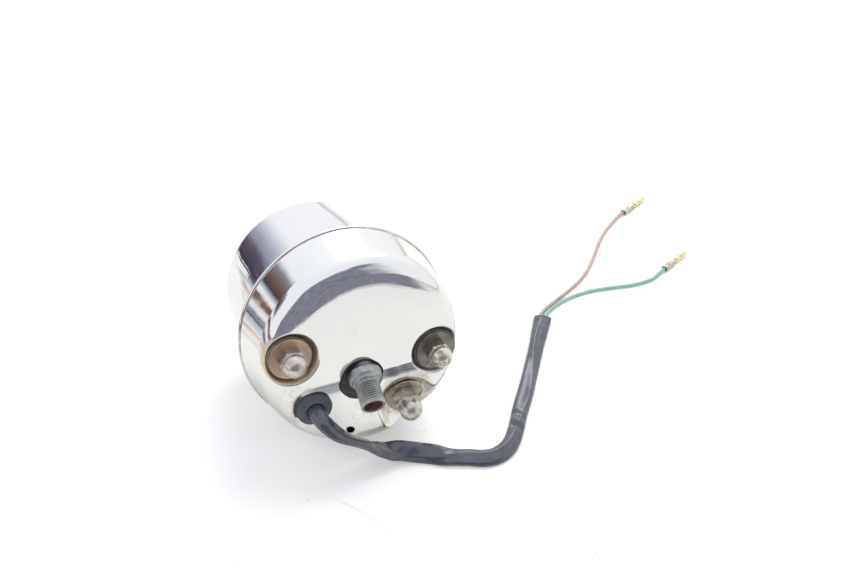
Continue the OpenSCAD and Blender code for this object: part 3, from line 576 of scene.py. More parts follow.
def worn_metal(name, clean, dirty, frame_of=INSTRUMENT, grain=1.2, roughness=(0.22, 0.5), relief=0.03,
               pitted=0.4, metallic=1.0):
    k = Look(name, metallic, 0.35)
    p = k.millimetres(frame_of)
    cloud = k.noise(p, grain * 3, 5, 0.65, 0.4)
    fine = k.noise(p, grain * 0.6, 4, 0.6)
    pit = k.times(k.dots(p, grain * 0.7, 0.08, 0.26), k.between(fine, 0.45, 0.6))
    colour = k.mix(k.between(cloud, 0.42, 0.62), clean, dirty)
    k.set("Base Color", k.mix(k.times(pit, pitted), colour, [0.35 * c for c in dirty]))
    k.set("Roughness", k.maths("ADD", k.between(cloud, 0.42, 0.62, *roughness), k.times(pit, 0.2), True))
    k.bump(fine, relief)
    k.bump(k.times(pit, -1.0), relief * 1.5)


def zinc_stub(name):
    """Grey cast zinc, with painted shade in the groove where the thread starts and at the collar's foot by
    the gasket, and reddish brown inside the bore.
    """
    k = Look(name, 1.0, 0.45)
    p = k.millimetres(STUB)
    x, y, z = k.axes(p)
    away = k.length(x, y)
    cloud = k.noise(p, 3.0, 5, 0.65, 0.4)
    fine = k.noise(p, 0.5, 4, 0.6)
    colour = k.mix(k.between(cloud, 0.3, 0.7), (0.55, 0.57, 0.575), (0.37, 0.38, 0.375))
    colour = k.mix(k.times(k.between(z, 35.5, 37.5), 0.6), colour, (0.70, 0.72, 0.73))
    # painted shade in the groove where the thread starts
    thread = k.times(k.between(z, 26.4, 27.2), k.between(away, 5.95, 5.55))
    colour = k.mix(k.times(thread, 0.6), colour, (0.13, 0.13, 0.125))
    # painted shade at the collar's foot, next to the gasket
    colour = k.mix(k.times(k.between(z, 21.4, 20.2), 0.55), colour, (0.11, 0.11, 0.11))
    inside = k.times(k.between(away, 4.95, 4.72), k.between(z, 39.3, 38.4))
    colour = k.mix(inside, colour, k.ramp(cloud, [(0.35, (0.10, 0.035, 0.03)), (0.7, (0.26, 0.09, 0.07))]))
    k.set("Base Color", colour)
    k.set("Metallic", k.without(k.times(inside, 0.85)))
    k.set("Roughness", k.between(fine, 0.3, 0.7, 0.36, 0.58))
    k.bump(fine, 0.05)
    k.bump(k.noise(p, 1.6), 0.06)


def brushed(name, colour, dark, direction=(1, 14, 14), size=1.2, roughness=(0.2, 0.38)):
    k = Look(name, 1.0, 0.3)
    p = k.millimetres(INSTRUMENT)
    grain = k.noise(k.stretched(p, direction), size, 4, 0.6)
    k.set("Base Color", k.mix(k.times(k.between(grain, 0.3, 0.75), 0.6), colour, dark))
    k.set("Roughness", k.between(k.noise(p, 6), 0.3, 0.7, *roughness))
    k.bump(grain, 0.01)


def paint(name, colour, second, roughness=(0.35, 0.55), orange_peel=0.02, size=2.5, frame_of=INSTRUMENT):
    k = Look(name, 0.0, 0.45)
    p = k.millimetres(frame_of)
    cloud = k.noise(p, size * 4, 4, 0.6)
    base = k.mix(k.between(cloud, 0.35, 0.7), colour, second)
    k.set("Base Color", k.mix(k.times(k.dots(p, 1.7, 0.03, 0.07), 0.25), base, (0.5, 0.48, 0.44)))
    k.set("Roughness", k.between(cloud, 0.3, 0.7, *roughness))
    k.bump(k.noise(p, size * 0.2, 3, 0.5), orange_peel)


def clear_glass(name, tint, roughness=0.02):
    k = Look(name, 0.0, roughness, tint)
    p = k.millimetres(INSTRUMENT)
    k.set("Transmission Weight", 1.0)
    k.set("IOR", 1.49)
    dust = k.patches(p, 9, 0.48, 0.75, 5, 0.7)
    k.set("Roughness", k.between(dust, 0, 1, roughness, roughness + 0.05))
    k.set("Base Color", k.mix(k.times(dust, 0.12), tint, (0.78, 0.76, 0.7)))
    k.bump(k.patches(k.stretched(p, (1, 0.05, 1)), 0.6, 0.66, 0.74, 2), 0.002)


def vinyl(name, colour, second, roughness, grime, bumps=0.05, shine=0.5):
    k = Look(name, 0.0, roughness)
    k.set("Specular IOR Level", shine)
    p = k.millimetres()
    dirt = k.patches(p, 2.4, 0.5, 0.75, 5, 0.7, 0.4)
    base = k.mix(k.patches(p, 7, 0.3, 0.7, 4, 0.6, 0.5), colour, second)
    k.set("Base Color", k.mix(k.times(dirt, grime), base, (0.17, 0.15, 0.13)))
    k.set("Roughness", k.maths("ADD", k.times(dirt, 0.25), roughness, True))
    k.bump(k.noise(p, 3.5, 3, 0.5), bumps)
    k.bump(k.noise(p, 0.4, 2), 0.003)


def make_looks():
    chrome("chrome_shell", (0.86, 0.87, 0.91), False)
    chrome("chrome_cover", (0.86, 0.865, 0.87), True)
    rubber("rubber_black", (0.018, 0.018, 0.02), (0.05, 0.052, 0.058))
    rubber("rubber_brown", (0.13, 0.105, 0.07), (0.27, 0.215, 0.14), 0.2, LEFT)
    rubber("rubber_blue", (0.050, 0.060, 0.074), (0.095, 0.112, 0.134), 0.12, GROMMET)
    rubber("rubber_dusty", (0.075, 0.073, 0.077), (0.165, 0.16, 0.165), 0.4, RIGHT)
    clear_glass("lens_glass", (0.97, 0.985, 0.98))
    clear_glass("bulb_glass", (0.98, 0.96, 0.9))
    paint("black_plastic", (0.018, 0.018, 0.019), (0.03, 0.03, 0.031), (0.32, 0.5))
    paint("dial_black", (0.012, 0.012, 0.013), (0.02, 0.02, 0.021), (0.5, 0.68), 0.015, 1.5)
    paint("pointer_red", (0.72, 0.06, 0.02), (0.62, 0.045, 0.015), (0.35, 0.5), 0.01, 1.2, MILLIMETRES)
    paint("white_liner", (0.82, 0.82, 0.79), (0.74, 0.73, 0.68), (0.45, 0.65))
    paint("dial_white", (0.80, 0.80, 0.76), (0.70, 0.69, 0.62), (0.5, 0.65), 0.004, 1.2)
    paint("dial_red", (0.55, 0.035, 0.02), (0.46, 0.03, 0.018), (0.5, 0.65), 0.004, 1.2)
    brushed("steel", (0.62, 0.62, 0.62), (0.40, 0.39, 0.38))
    brushed("aluminium", (0.80, 0.80, 0.81), (0.62, 0.62, 0.63))
    brushed("spring_blue", (0.16, 0.20, 0.42), (0.28, 0.22, 0.30), (1, 1, 1), 1.5, (0.15, 0.3))
    zinc_stub("die_cast")
    worn_metal("zinc_plate", (0.60, 0.61, 0.60), (0.46, 0.45, 0.40), INSTRUMENT, 3, (0.3, 0.5))
    worn_metal("brass", (0.78, 0.60, 0.28), (0.52, 0.38, 0.17), INSTRUMENT, 1.5, (0.2, 0.42))
    worn_metal("bright_brass", (0.92, 0.85, 0.55), (0.84, 0.74, 0.42), MILLIMETRES, 1.1, (0.22, 0.36), 0.01,
               0.15)
    worn_metal("crimp", (0.66, 0.63, 0.56), (0.52, 0.48, 0.40), MILLIMETRES, 0.9, (0.3, 0.5), 0.015, 0.2)
    worn_metal("bronze", (0.58, 0.36, 0.17), (0.36, 0.22, 0.11), INSTRUMENT, 0.7, (0.4, 0.6))
    worn_metal("magnet_grey", (0.17, 0.17, 0.18), (0.10, 0.10, 0.105), INSTRUMENT, 0.8, (0.45, 0.65),
               metallic=0.6)
    worn_metal("nut_brown", (0.72, 0.66, 0.63), (0.54, 0.46, 0.41), LEFT, 1.6, (0.26, 0.40), 0.02)
    worn_metal("nut_pitted", (0.78, 0.74, 0.66), (0.40, 0.34, 0.28), RIGHT, 0.8, (0.22, 0.42), 0.08, 0.8)
    worn_metal("nut_nickel", (0.70, 0.67, 0.63), (0.50, 0.46, 0.41), THIRD, 1.6, (0.26, 0.42), 0.02)
    worn_metal("washer_tan", (0.62, 0.46, 0.34), (0.44, 0.33, 0.26), LEFT, 4.5, (0.42, 0.52), 0.01, 0.1)
    worn_metal("washer_grey", (0.27, 0.25, 0.235), (0.20, 0.18, 0.17), RIGHT, 3.0, (0.32, 0.48), 0.02)
    worn_metal("washer_dirty", (0.58, 0.53, 0.46), (0.38, 0.32, 0.25), THIRD, 2.0, (0.35, 0.55))
    vinyl("sleeve_pvc", (0.040, 0.044, 0.064), (0.072, 0.078, 0.106), 0.17, 0.04, 0.03, 1.0)
    vinyl("wire_brown", (0.54, 0.37, 0.30), (0.62, 0.46, 0.39), 0.38, 0.2)
    vinyl("wire_green", (0.25, 0.50, 0.40), (0.34, 0.59, 0.49), 0.36, 0.2)


def dress_nodes():
    for row in frame["record"]["subparts"]:
        materials = nodes[row["node"]].data.materials
        materials.clear()
        materials.append(LOOKS[row["material_slot"]])


# The chromed case
def smooth_min(a, b, k):
    h = np.maximum(k - np.abs(a - b), 0) / k
    return np.minimum(a, b) - h * h * k / 4


def smooth_max(a, b, k):
    return -smooth_min(-a, -b, k)


def fade(value, start, end):
    t = np.clip((value - start) / (end - start), 0, 1)
    return t * t * (3 - 2 * t)


def pressed_level(x, y):
    """Height of everything pressed into the rear face, over the whole plane."""
    level = np.full_like(x, 60.0)
    # seats of the two dampers
    for side in (-1, 1):
        away = np.hypot(x - side * STUD_X, y)
        bowl = smooth_max(np.full_like(x, SEAT_LEVEL), SEAT_LEVEL + (away - SEAT_R) * SEAT_WALL, 2.0)
        level = smooth_min(level, bowl, 0.6)
    # the recess: a sloping band, then a floor that rises to meet the rim but dips under the grommet; its left
    # end is rounded
    turn = radians(RECESS_TURN)
    u = x * cos(turn) + y * sin(turn)
    v = -x * sin(turn) + y * cos(turn)
    below = -v - BAND_TOP
    band = COVER_DEPTH - below * tan(radians(BAND_SLOPE))
    seat = COVER_DEPTH - BAND_DROP - (below - BAND_W) * tan(radians(RECESS_SLOPE))
    rising = COVER_DEPTH - 2.7 + (below - 7.4) * tan(radians(FLOOR_RISE))
    floor = seat + (rising - seat) * fade(u, -20, -5)
    recess = smooth_max(band, floor, 1.6)
    past_end = np.maximum(RECESS_CORNER - RECESS_LEFT - u, 0)
    outside = np.hypot(past_end, np.maximum(v + BAND_TOP + RECESS_CORNER, 0))
    recess = smooth_max(recess, recess + outside - RECESS_CORNER, 2.6)
    level = smooth_min(level, recess, 0.9)
    # the tilted seat of the third stud, open towards the rim
    lean = radians(THIRD_TILT)
    across, along = x - THIRD_AT[0], (y - THIRD_AT[1]) / cos(lean)
    plane = THIRD_AT[2] + (y - THIRD_AT[1]) * tan(lean)
    rise = smooth_max(np.zeros_like(x), (np.hypot(across, along) - THIRD_SEAT_R) * 1.5, 1.8)
    outwards = across * THIRD_OUT[0] + (y - THIRD_AT[1]) * THIRD_OUT[1]
    beside = np.abs(-across * THIRD_OUT[1] + (y - THIRD_AT[1]) * THIRD_OUT[0])
    third = plane + rise * (1 - fade(outwards, -3, 12) * (1 - fade(beside, 6, 24)))
    return smooth_min(level, third, 2.6)


def unevenness(x, y):
    """The slight waves that pressing and polishing leave in thin sheet."""
    return (0.045 * np.sin(x / 6.1 + 0.7) * np.sin(y / 7.3 + 0.4) + 0.05 * np.sin(x / 11 - y / 9 + 1.1)
            + 0.035 * np.sin(y / 4.9 + x / 13))


# x, y and radius: stub, grommet, drain, left and right damper, third stud
COVER_HOLES = [(-0.5, -13.0, 11.4), (*GROMMET_AT, 6.8), (-2.1, -42.3, 2.0), (-STUD_X, 0, 9.0),
               (STUD_X, 0, 9.0), (*THIRD_AT[:2], 3.2)]


# The rear face's slope in degrees at each radius: nearly flat, a slight crown, then the rounded edge
COVER_SLOPE = [(0, 0), (24, 0), (30, 0.9), (34, 2.2), (37, 3.8), (41, 7), (44, 12), (46, 21), (47.3, 34),
               (48.3, 46), (49.2, 57), (50, 68), (50.6, 76), (51, 80)]
# where the slopes end, where the straight wall ends, the bead rolled round the rim, and points on each ring
EDGE_R = 51.0
WALL_FOOT = (54.03, 1.21)
BEAD_AT = 53.75
BEAD_R = 1.25
ROUND_THE_FACE = 560


def cover_rings():
    """(radius, height) from the centre out to the rim's bead; the number of rings before the bead."""
    radii, slopes = zip(*COVER_SLOPE)
    rings, z, step, since = [], COVER_DEPTH, 0.01, 9.0
    for i in range(int(EDGE_R / step) + 1):
        r = i * step
        slope = radians(float(np.interp(r, radii, slopes)))
        since += step / cos(slope)
        if r >= 0.5 and since >= (0.55 if r < 43 else 0.36):
            rings.append((r, z))
            since = 0.0
        z -= step * tan(slope)
    for s in range(37):
        t = s / 36
        rings.append((EDGE_R + (WALL_FOOT[0] - EDGE_R) * t, z + (WALL_FOOT[1] - z) * t))
    return rings + arc(BEAD_AT, 0, BEAD_R, [72 - 175 * s / 16 for s in range(17)]), len(rings)


def middles(values):
    """The mean of each quad's four corners."""
    along = (values + np.roll(values, -1, 1)) / 2
    return (along[:-1] + along[1:]) / 2


def corners_of(quads):
    """Marks every corner of the marked quads."""
    wide = quads | np.roll(quads, 1, 1)
    none = np.zeros((1, quads.shape[1]), bool)
    return np.vstack([wide, none]) | np.vstack([none, wide])


def make_cover():
    rings, wall = cover_rings()
    turns = ROUND_THE_FACE
    a = np.arange(turns) * 2 * pi / turns
    r = np.array([p[0] for p in rings])[:, None]
    z0 = np.array([p[1] for p in rings])[:, None] + 0 * a[None]
    x, y = r * np.cos(a), r * np.sin(a)

    def settled(x, y, z0):
        free = z0 + unevenness(x, y) * np.clip((53.5 - np.hypot(x, y)) / 4, 0, 1) * (z0 > 3)
        return np.where(z0 > 4, smooth_min(free, pressed_level(x, y), 1.3), free)

    z = settled(x, y, z0)
    n = len(rings)
    count = n * turns
    index = np.arange(count).reshape(n, turns)
    # which quads are cut away by a hole
    cx, cy = middles(x), middles(y)
    top = ((z0 + np.roll(z0, -1, 1))[:-1] / 2) > 4
    cut = np.zeros_like(cx, bool)
    for hx, hy, hr in COVER_HOLES:
        cut |= (np.hypot(cx - hx, cy - hy) < hr) & top
    # corners on a hole's edge move onto its circle
    edge = corners_of(cut) & corners_of(~cut)
    for hx, hy, hr in COVER_HOLES:
        away = np.hypot(x - hx, y - hy)
        mine = edge & (np.abs(away - hr) < 1.2)
        x = np.where(mine, hx + (x - hx) * hr / np.maximum(away, 1e-6), x)
        y = np.where(mine, hy + (y - hy) * hr / np.maximum(away, 1e-6), y)
    z = np.where(edge, settled(x, y, z0), z)
    outer = np.stack([x, y, z], -1)
    # the inside of the sheet, 1 mm in along the surface's own normal
    di = np.gradient(outer, axis=0)
    dj = np.roll(outer, -1, 1) - np.roll(outer, 1, 1)
    normal = np.cross(di, dj)
    normal /= np.maximum(np.linalg.norm(normal, axis=-1, keepdims=True), 1e-9)
    inner = outer - normal
    inner[wall:] = inner[wall - 1]
    inner[wall:, :, 2] = np.minimum(inner[wall - 1, :, 2], 0.2)
    points = np.concatenate([outer.reshape(-1, 3), inner.reshape(-1, 3)])
    faces = []
    for i in range(n - 1):
        low, high = index[i], index[i + 1]
        quads = np.stack([low, high, np.roll(high, -1), np.roll(low, -1)], -1)[~cut[i]]
        faces.append(quads)
        if i < wall - 1:
            faces.append(quads[:, ::-1] + count)
    faces = [tuple(q) for q in np.concatenate(faces).tolist()]
    # the sheet's edge round each hole
    for i, j in np.argwhere(cut):
        k = (j + 1) % turns
        sides = ((i, (j - 1) % turns, index[i, j], index[i + 1, j]), (i, k, index[i + 1, k], index[i, k]),
                 (i - 1, j, index[i, k], index[i, j]), (i + 1, j, index[i + 1, j], index[i + 1, k]))
        for ni, nj, first, second in sides:
            if 0 <= ni < n - 1 and not cut[ni, nj]:
                faces.append((first, second, second + count, first + count))
    # the centre, and the bead's turned-in end
    middle = len(points)
    points = np.concatenate([points, [[0, 0, z[0].mean()], [0, 0, z[0].mean() - 1]]])
    last, last_in = index[n - 1], index[wall - 1] + count
    for j in range(turns):
        k = (j + 1) % turns
        faces.append((middle, index[0, j], index[0, k]))
        faces.append((middle + 1, index[0, k] + count, index[0, j] + count))
        faces.append((last[j], last_in[j], last_in[k], last[k]))
    flat = np.c_[points, np.ones(len(points))] @ np.array(INSTRUMENT).T
    cover = new_object("pressed_cover", flat[:, :3].tolist(), faces, "chrome_cover")
    drop_loose(cover)
    face_outwards(cover)
    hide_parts("rear_cover")


def drop_loose(piece):
    reworked(piece, lambda bm: bmesh.ops.delete(
        bm, geom=[v for v in bm.verts if not v.link_faces], context="VERTS"))


def make_shell():
    outer = [(49.5 - 4.0 * t / 44, -59.0 * t / 44) for t in range(45)]
    outer += arc(39.5, -59, 6, range(-6, -91, -6))
    lip = [(37.35, -65.0), (37.0, -64.7), (37.0, -64.3), (37.3, -64.0)]
    inner = arc(39.5, -59, 5, range(-90, -5, 6))
    inner += [(48.5 - 4.0 * t / 20, -59.0 * t / 20) for t in range(20, 0, -1)]
    flange = [(48.45, -1.0), (46.5, -1.0), (46.5, 0.0), (49.3, 0.0)]

    def waves(r, z, a):
        w = sin(pi * min(1, max(0, -z / 62)))
        return r + w * (0.05 * sin(3 * a + z / 17) + 0.03 * sin(7 * a - z / 9)), z

    profile = outer + lip + inner + flange
    shell = turned_piece("drawn_shell", profile, INSTRUMENT, "chrome_shell", turns=288, reach=waves)
    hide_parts("front_shell")


# Fasteners and rubber
def make_nut(name, node, matrix, turn, material, level, seed, flat=5.5, hexagon=5.5, neck=1.5):
    """A cap nut: six flats with rounded corners, a chamfer, a waist and a dome."""
    corner, dome = flat / cos(radians(30)), flat - 0.1
    top, bore, depth_inside = hexagon + neck, 3.05, 9.0
    local = random.Random(seed)
    dings = [(local.uniform(0, 6.28), local.uniform(1, top + 4), local.uniform(0.05, 0.16))
             for _ in range(11)]

    def six(a):
        total = sum(max(0.0, cos(a - radians(turn + 30 + 60 * k)) / flat) ** 30 for k in range(6))
        return total ** (-1 / 30)

    def reach(r, z, a):
        if r > dome + 0.15 and z < hexagon + 0.1:
            cone = corner - 0.45 + (hexagon - z) * 0.75
            r = min(r, six(a), cone)
            if z < 0.12:
                r -= 0.12
        for da, dz, depth in dings:
            gap = hypot((math.remainder(a - da, 2 * pi)) * 5, z - dz)
            if gap < 0.9:
                r -= depth * (1 - gap / 0.9) ** 2
        return r, z

    profile = [(bore, 0.1), (3.3, 0.0), (corner, 0.0), (corner, 0.12)]
    profile += [(corner, hexagon * t) for t in (0.12, 0.3, 0.5, 0.7, 0.8)]
    profile += [(corner, hexagon * 0.8 + hexagon * 0.2 * t / 10) for t in range(1, 11)]
    profile += [(dome + 0.5, hexagon + 0.1), (dome + 0.12, hexagon + 0.12), (dome + 0.02, hexagon + 0.25),
                (dome - 0.04, hexagon + 0.45), (dome - 0.04, top - 0.1)]
    profile += arc(0, top, dome, range(3, 90, 5)) + [(0, top + dome), (0, depth_inside), (bore, depth_inside)]
    nut = turned_piece(name, profile, matrix @ moved(0, 0, level), material, turns=144, reach=reach)
    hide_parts(node)


def make_washer(name, node, matrix, radius, low, material, seed, dish=0.0):
    local = random.Random(seed)
    phases = [local.uniform(0, 6.28) for _ in range(4)]

    def reach(r, z, a):
        if r > radius - 0.6:
            r += 0.07 * sin(3 * a + phases[0]) + 0.04 * sin(8 * a + phases[1])
        return r, z - dish * max(0, 1 - ((r - 5.5) / 4.5) ** 2) * (z > low + 0.5)

    steps = [(3.25, low), (radius, low), (radius, low + 1.0)]
    profile = rounded(steps + [(3.25, low + 1.0)], 0.3, 4)
    fine = []
    for p, q in zip(profile, profile[1:] + profile[:1]):
        parts = 8 if hypot(q[0] - p[0], q[1] - p[1]) > 3 else 1
        fine += [(p[0] + (q[0] - p[0]) * s / parts, p[1] + (q[1] - p[1]) * s / parts) for s in range(parts)]
    washer = turned_piece(name, fine, matrix, material, turns=96, reach=reach)
    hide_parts(node)


def make_damper(name, node, matrix, material, swell):
    corners = [(4.82, 22.0, 0.2), (10.0, 22.0, 0.7), (10.0, 26.0, 0.6), (8.9, 26.0, 0.2), (8.9, 27.0, 0.2),
               (10.9, 27.0, 0.6), (10.9, 29.3, 0.6), (10.3, 29.3, 0.1), (4.82, 29.3, 0.2)]

    def reach(r, z, a):
        if r > 10.6 and z > 26.5:
            r += swell * (0.5 + 0.5 * sin(2 * a + 0.6)) * 0.3 + 0.05 * sin(9 * a)
        return r, z

    damper = turned_piece(name, rounded(corners, 0.4, 6), matrix, material, turns=112, reach=reach)
    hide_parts(node)


def make_grommet():
    corners = [(4.1, -4.0, 0.3), (8.4, -4.0, 0.7), (8.4, -1.0, 0.4), (6.6, -1.0, 0.2), (6.6, 0.0, 0.2),
               (9.0, 0.0, 0.35), (9.0, 1.9, 1.1), (6.7, 2.7, 0.8), (6.1, 3.2, 0.5), (4.9, 3.2, 0.5),
               (4.1, 2.4, 0.4)]
    grommet = turned_piece("rubber_grommet", rounded(corners, 0.4, 6), GROMMET, "rubber_blue", turns=96)
    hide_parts("grommet")


def copied(name, node, material):
    piece = bpy.data.objects.new(name, nodes[node].data.copy())
    scene.collection.objects.link(piece)
    piece.data.materials.clear()
    piece.data.materials.append(LOOKS[material])
    return piece


def welded(piece):
    reworked(piece, lambda bm: bmesh.ops.remove_doubles(bm, verts=bm.verts, dist=1e-6))


def make_stub():
    """The drive housing, with the stub outside the cover turned afresh, thread and all."""
    body = copied("housing_casting", "drive_housing", "die_cast")
    welded(body)
    where, up = STUB @ Vector((0, 0, 19)), (STUB.to_3x3() @ Vector((0, 0, 1))).normalized()
    reworked(body, lambda bm: bmesh.ops.bisect_plane(
        bm, geom=bm.verts[:] + bm.edges[:] + bm.faces[:], plane_co=where, plane_no=up, clear_outer=True))
    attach(body, "case")
    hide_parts("drive_housing")
    radius, start, end, pitch, depth, run_out = 6.0, 27.3, 38.9, 1.25, 0.62, 0.8

    def reach(r, z, a):
        if abs(r - radius) < 0.01 and start < z < end:
            phase = (z / pitch - a / (2 * pi)) % 1
            groove = max(0.0, 1 - abs(phase - 0.5) / 0.40)
            near_end = min(1, (z - start) / run_out, (end - z) / run_out)
            r -= depth * near_end * groove ** 0.8
        return r, z

    profile = [(3.56, 18.6), (6.17, 18.6), (6.17, 20.4), (8.05, 20.42), (8.3, 20.55), (8.4, 20.9),
               (8.4, 23.2)]
    profile += arc(6.9, 23.5, 1.5, range(8, 86, 11))
    profile += [(7.05, 25.05), (7.0, 25.2), (6.98, 26.0), (6.8, 26.3), (6.3, 26.4), (5.75, 26.5),
                (5.7, 27.0), (6.0, 27.28)]
    count = int((end - start) / 0.1)
    profile += [(radius, start + (end - start) * s / count) for s in range(count + 1)]
    profile += [(5.95, 39.0), (5.72, 39.3), (5.5, 39.4), (4.95, 39.4), (4.75, 39.28), (4.7, 39.0),
                (4.7, 32.4), (4.2, 32.4), (4.2, 27.4), (3.56, 27.4)]
    stub = turned_piece("threaded_stub", profile, STUB, "die_cast", turns=96, reach=reach)


def soften(name, node, material, width, degrees=35):
    """The node's own shape with its sharp edges rounded."""
    piece = copied(name, node, material)
    welded(piece)
    bevel = piece.modifiers.new("edges", "BEVEL")
    bevel.width = width / 1000
    bevel.segments = 3
    bevel.limit_method = "ANGLE"
    bevel.angle_limit = radians(degrees)
    bevel.use_clamp_overlap = True
    bpy.context.view_layer.objects.active = piece
    bpy.ops.object.modifier_apply(modifier=bevel.name)
    piece.data.polygons.foreach_set("use_smooth", [True] * len(piece.data.polygons))
    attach(piece, "case")
    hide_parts(node)


def make_bullet(colour, route):
    """A crimp barrel round the wire, then a turned bullet with two grooves and a rounded nose."""
    a, b = Vector(route[-2]), Vector(route[-1])
    heading = math.atan2(b.y - a.y, b.x - a.x)
    matrix = (MILLIMETRES @ moved(EXIT.x + b.x, EXIT.y + b.y, BULLET_R + BULLET_GAP)
              @ turned("Z", math.degrees(heading)) @ turned("Y", 90))

    def squeezed(r, z, a):
        # the crimp is pinched flat in its middle, and its seam lies on top
        pinch = exp(-((z - 6.2) / 2.3) ** 2)
        seam = exp(-(math.remainder(a - pi, 2 * pi) / 0.16) ** 2)
        r = r * (1 - 0.14 * pinch * abs(cos(a)) ** 2) - 0.28 * seam * pinch - 0.12 * seam
        return r * (1 + 0.26 * sin(a) ** 2), z

    crimp = [(1.12, 0.3), (1.5, 0.0), (1.88, 0.15), (1.9, 0.8)] + [(1.75, 1.2 + 0.7 * s) for s in range(13)]
    crimp += [(1.7, 10.2), (1.5, 10.5), (1.12, 10.5)]
    barrel = turned_piece("crimp_" + colour, crimp, matrix, "crimp", turns=40, reach=squeezed)
    nose = [(0, 10.0), (1.3, 10.0), (1.4, 10.4), (1.4, 11.9), (1.6, 12.1), (1.86, 12.3), (1.95, 12.6),
            (1.95, 16.4), (1.82, 16.65), (1.68, 16.8), (1.68, 17.2), (1.82, 17.35), (1.95, 17.6),
            (1.95, 21.4), (1.9, 22.4), (1.74, 23.4), (1.42, 24.3), (0.95, 24.85), (0.4, 25.0), (0, 25.0)]
    bullet = turned_piece("bullet_terminal_" + colour, nose, matrix, "bright_brass", turns=40)
    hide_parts("bullet_" + colour)
    return [barrel, bullet]


def make_hardware():
    make_nut("acorn_nut_left", "cap_nut_left", LEFT, 4, "nut_brown", 30.3, 3, 5.9)
    make_nut("acorn_nut_right", "cap_nut_right", RIGHT, 14, "nut_pitted", 30.3, 5)
    make_nut("acorn_nut_third", "third_cap_nut", THIRD, 8, "nut_nickel", 1.0, 8, 6.0, 6.5, 3.0)
    make_washer("plate_washer_left", "washer_left", LEFT, 10.5, 29.3, "washer_tan", 2, 0.1)
    make_washer("plate_washer_right", "washer_right", RIGHT, 10.25, 29.3, "washer_grey", 4)
    make_washer("plate_washer_third", "third_washer", THIRD, 9.75, 0.0, "washer_dirty", 6, 0.12)
    make_damper("rubber_damper_left", "damper_left", LEFT, "rubber_brown", 0.2)
    make_damper("rubber_damper_right", "damper_right", RIGHT, "rubber_dusty", 0.7)
    make_grommet()
    make_stub()
    soften("rubber_stub_ring", "stub_gasket", "rubber_black", 0.7)


# The dial's scale, which only the front shows
DIAL_FRONT = -52.6
SCALE_START = 315
SCALE_SWEEP = 270
SCALE_TOP = 10
SCALE_R = 35.6
RED_FROM = 8.5
PAINT = 0.06
NUMBERS_R = 26.2
NUMBERS_SIZE = 6.6
RED_BAND = 1.9
SCALE_LINE = 0.35


def scale_angle(value):
    return radians(SCALE_START + SCALE_SWEEP * value / SCALE_TOP)


def sector(inner, outer, start, end):
    """Outline of a part of a ring, between two values of the scale."""
    steps = max(1, round((end - start) * 12))
    turns = [scale_angle(start + (end - start) * i / steps) for i in range(steps + 1)]
    out = [(outer * cos(a), outer * sin(a)) for a in turns]
    return out + [(inner * cos(a), inner * sin(a)) for a in reversed(turns)]


def bar(value, inner, outer, width):
    """Outline of one tick."""
    a = scale_angle(value)
    across = Vector((-sin(a), cos(a))) * width / 2
    ends = [Vector((cos(a), sin(a))) * r for r in (inner, outer)]
    return [ends[0] - across, ends[1] - across, ends[1] + across, ends[0] + across]


def painted(name, outlines, material):
    """Flat marks of paint standing PAINT proud of the dial."""
    points, faces = [], []
    for outline in outlines:
        n, first = len(outline), len(points)
        for height in (0.01, -PAINT):
            points += [INSTRUMENT @ Vector((q[0], q[1], DIAL_FRONT + height)) for q in outline]
        half = n // 2
        for base in (first, first + n):
            faces += [(base + i, base + i + 1, base + n - 2 - i, base + n - 1 - i) for i in range(half - 1)]
        faces += [(first + i, first + (i + 1) % n, first + n + (i + 1) % n, first + n + i) for i in range(n)]
    marks = new_object(name, points, faces, material, smooth=False)
    face_outwards(marks)


def numbers():
    """The plain numbers, as shallow solids upright as seen from the front."""
    points, faces = [], []
    for value in range(SCALE_TOP + 1):
        curve = bpy.data.curves.new("number", "FONT")
        curve.body = str(value)
        curve.size, curve.extrude = NUMBERS_SIZE, PAINT / 2
        curve.align_x, curve.align_y = "CENTER", "CENTER"
        writing = bpy.data.objects.new("number", curve)
        scene.collection.objects.link(writing)
        bpy.context.view_layer.update()
        mesh = bpy.data.meshes.new_from_object(writing.evaluated_get(bpy.context.evaluated_depsgraph_get()))
        a = scale_angle(value)
        centre = moved(NUMBERS_R * cos(a), NUMBERS_R * sin(a), DIAL_FRONT - PAINT / 2)
        place = INSTRUMENT @ centre @ turned("Y", 180)
        first = len(points)
        points += [place @ corner.co for corner in mesh.vertices]
        faces += [tuple(first + i for i in face.vertices) for face in mesh.polygons]
        bpy.data.objects.remove(writing)
        bpy.data.meshes.remove(mesh)
    new_object("dial_numbers", points, faces, "dial_white", smooth=False)


def ticks(red, outer):
    """Outlines of the ticks in or before the red zone; every fifth is longer and wider."""
    out = []
    for i in range(5 * SCALE_TOP + 1):
        length, width = (2.6, 0.45) if i % 5 else (5.0, 0.95)
        if (i / 5 >= RED_FROM) == red:
            out.append(bar(i / 5, SCALE_R - length, outer, width))
    return out


def make_dial():
    line = sector(SCALE_R, SCALE_R + SCALE_LINE, 0, RED_FROM)
    painted("dial_ticks", ticks(False, SCALE_R) + [line], "dial_white")
    inner = SCALE_R - RED_BAND
    zone = sector(inner, SCALE_R + SCALE_LINE, RED_FROM, SCALE_TOP)
    painted("dial_red_zone", ticks(True, inner) + [zone], "dial_red")
    numbers()


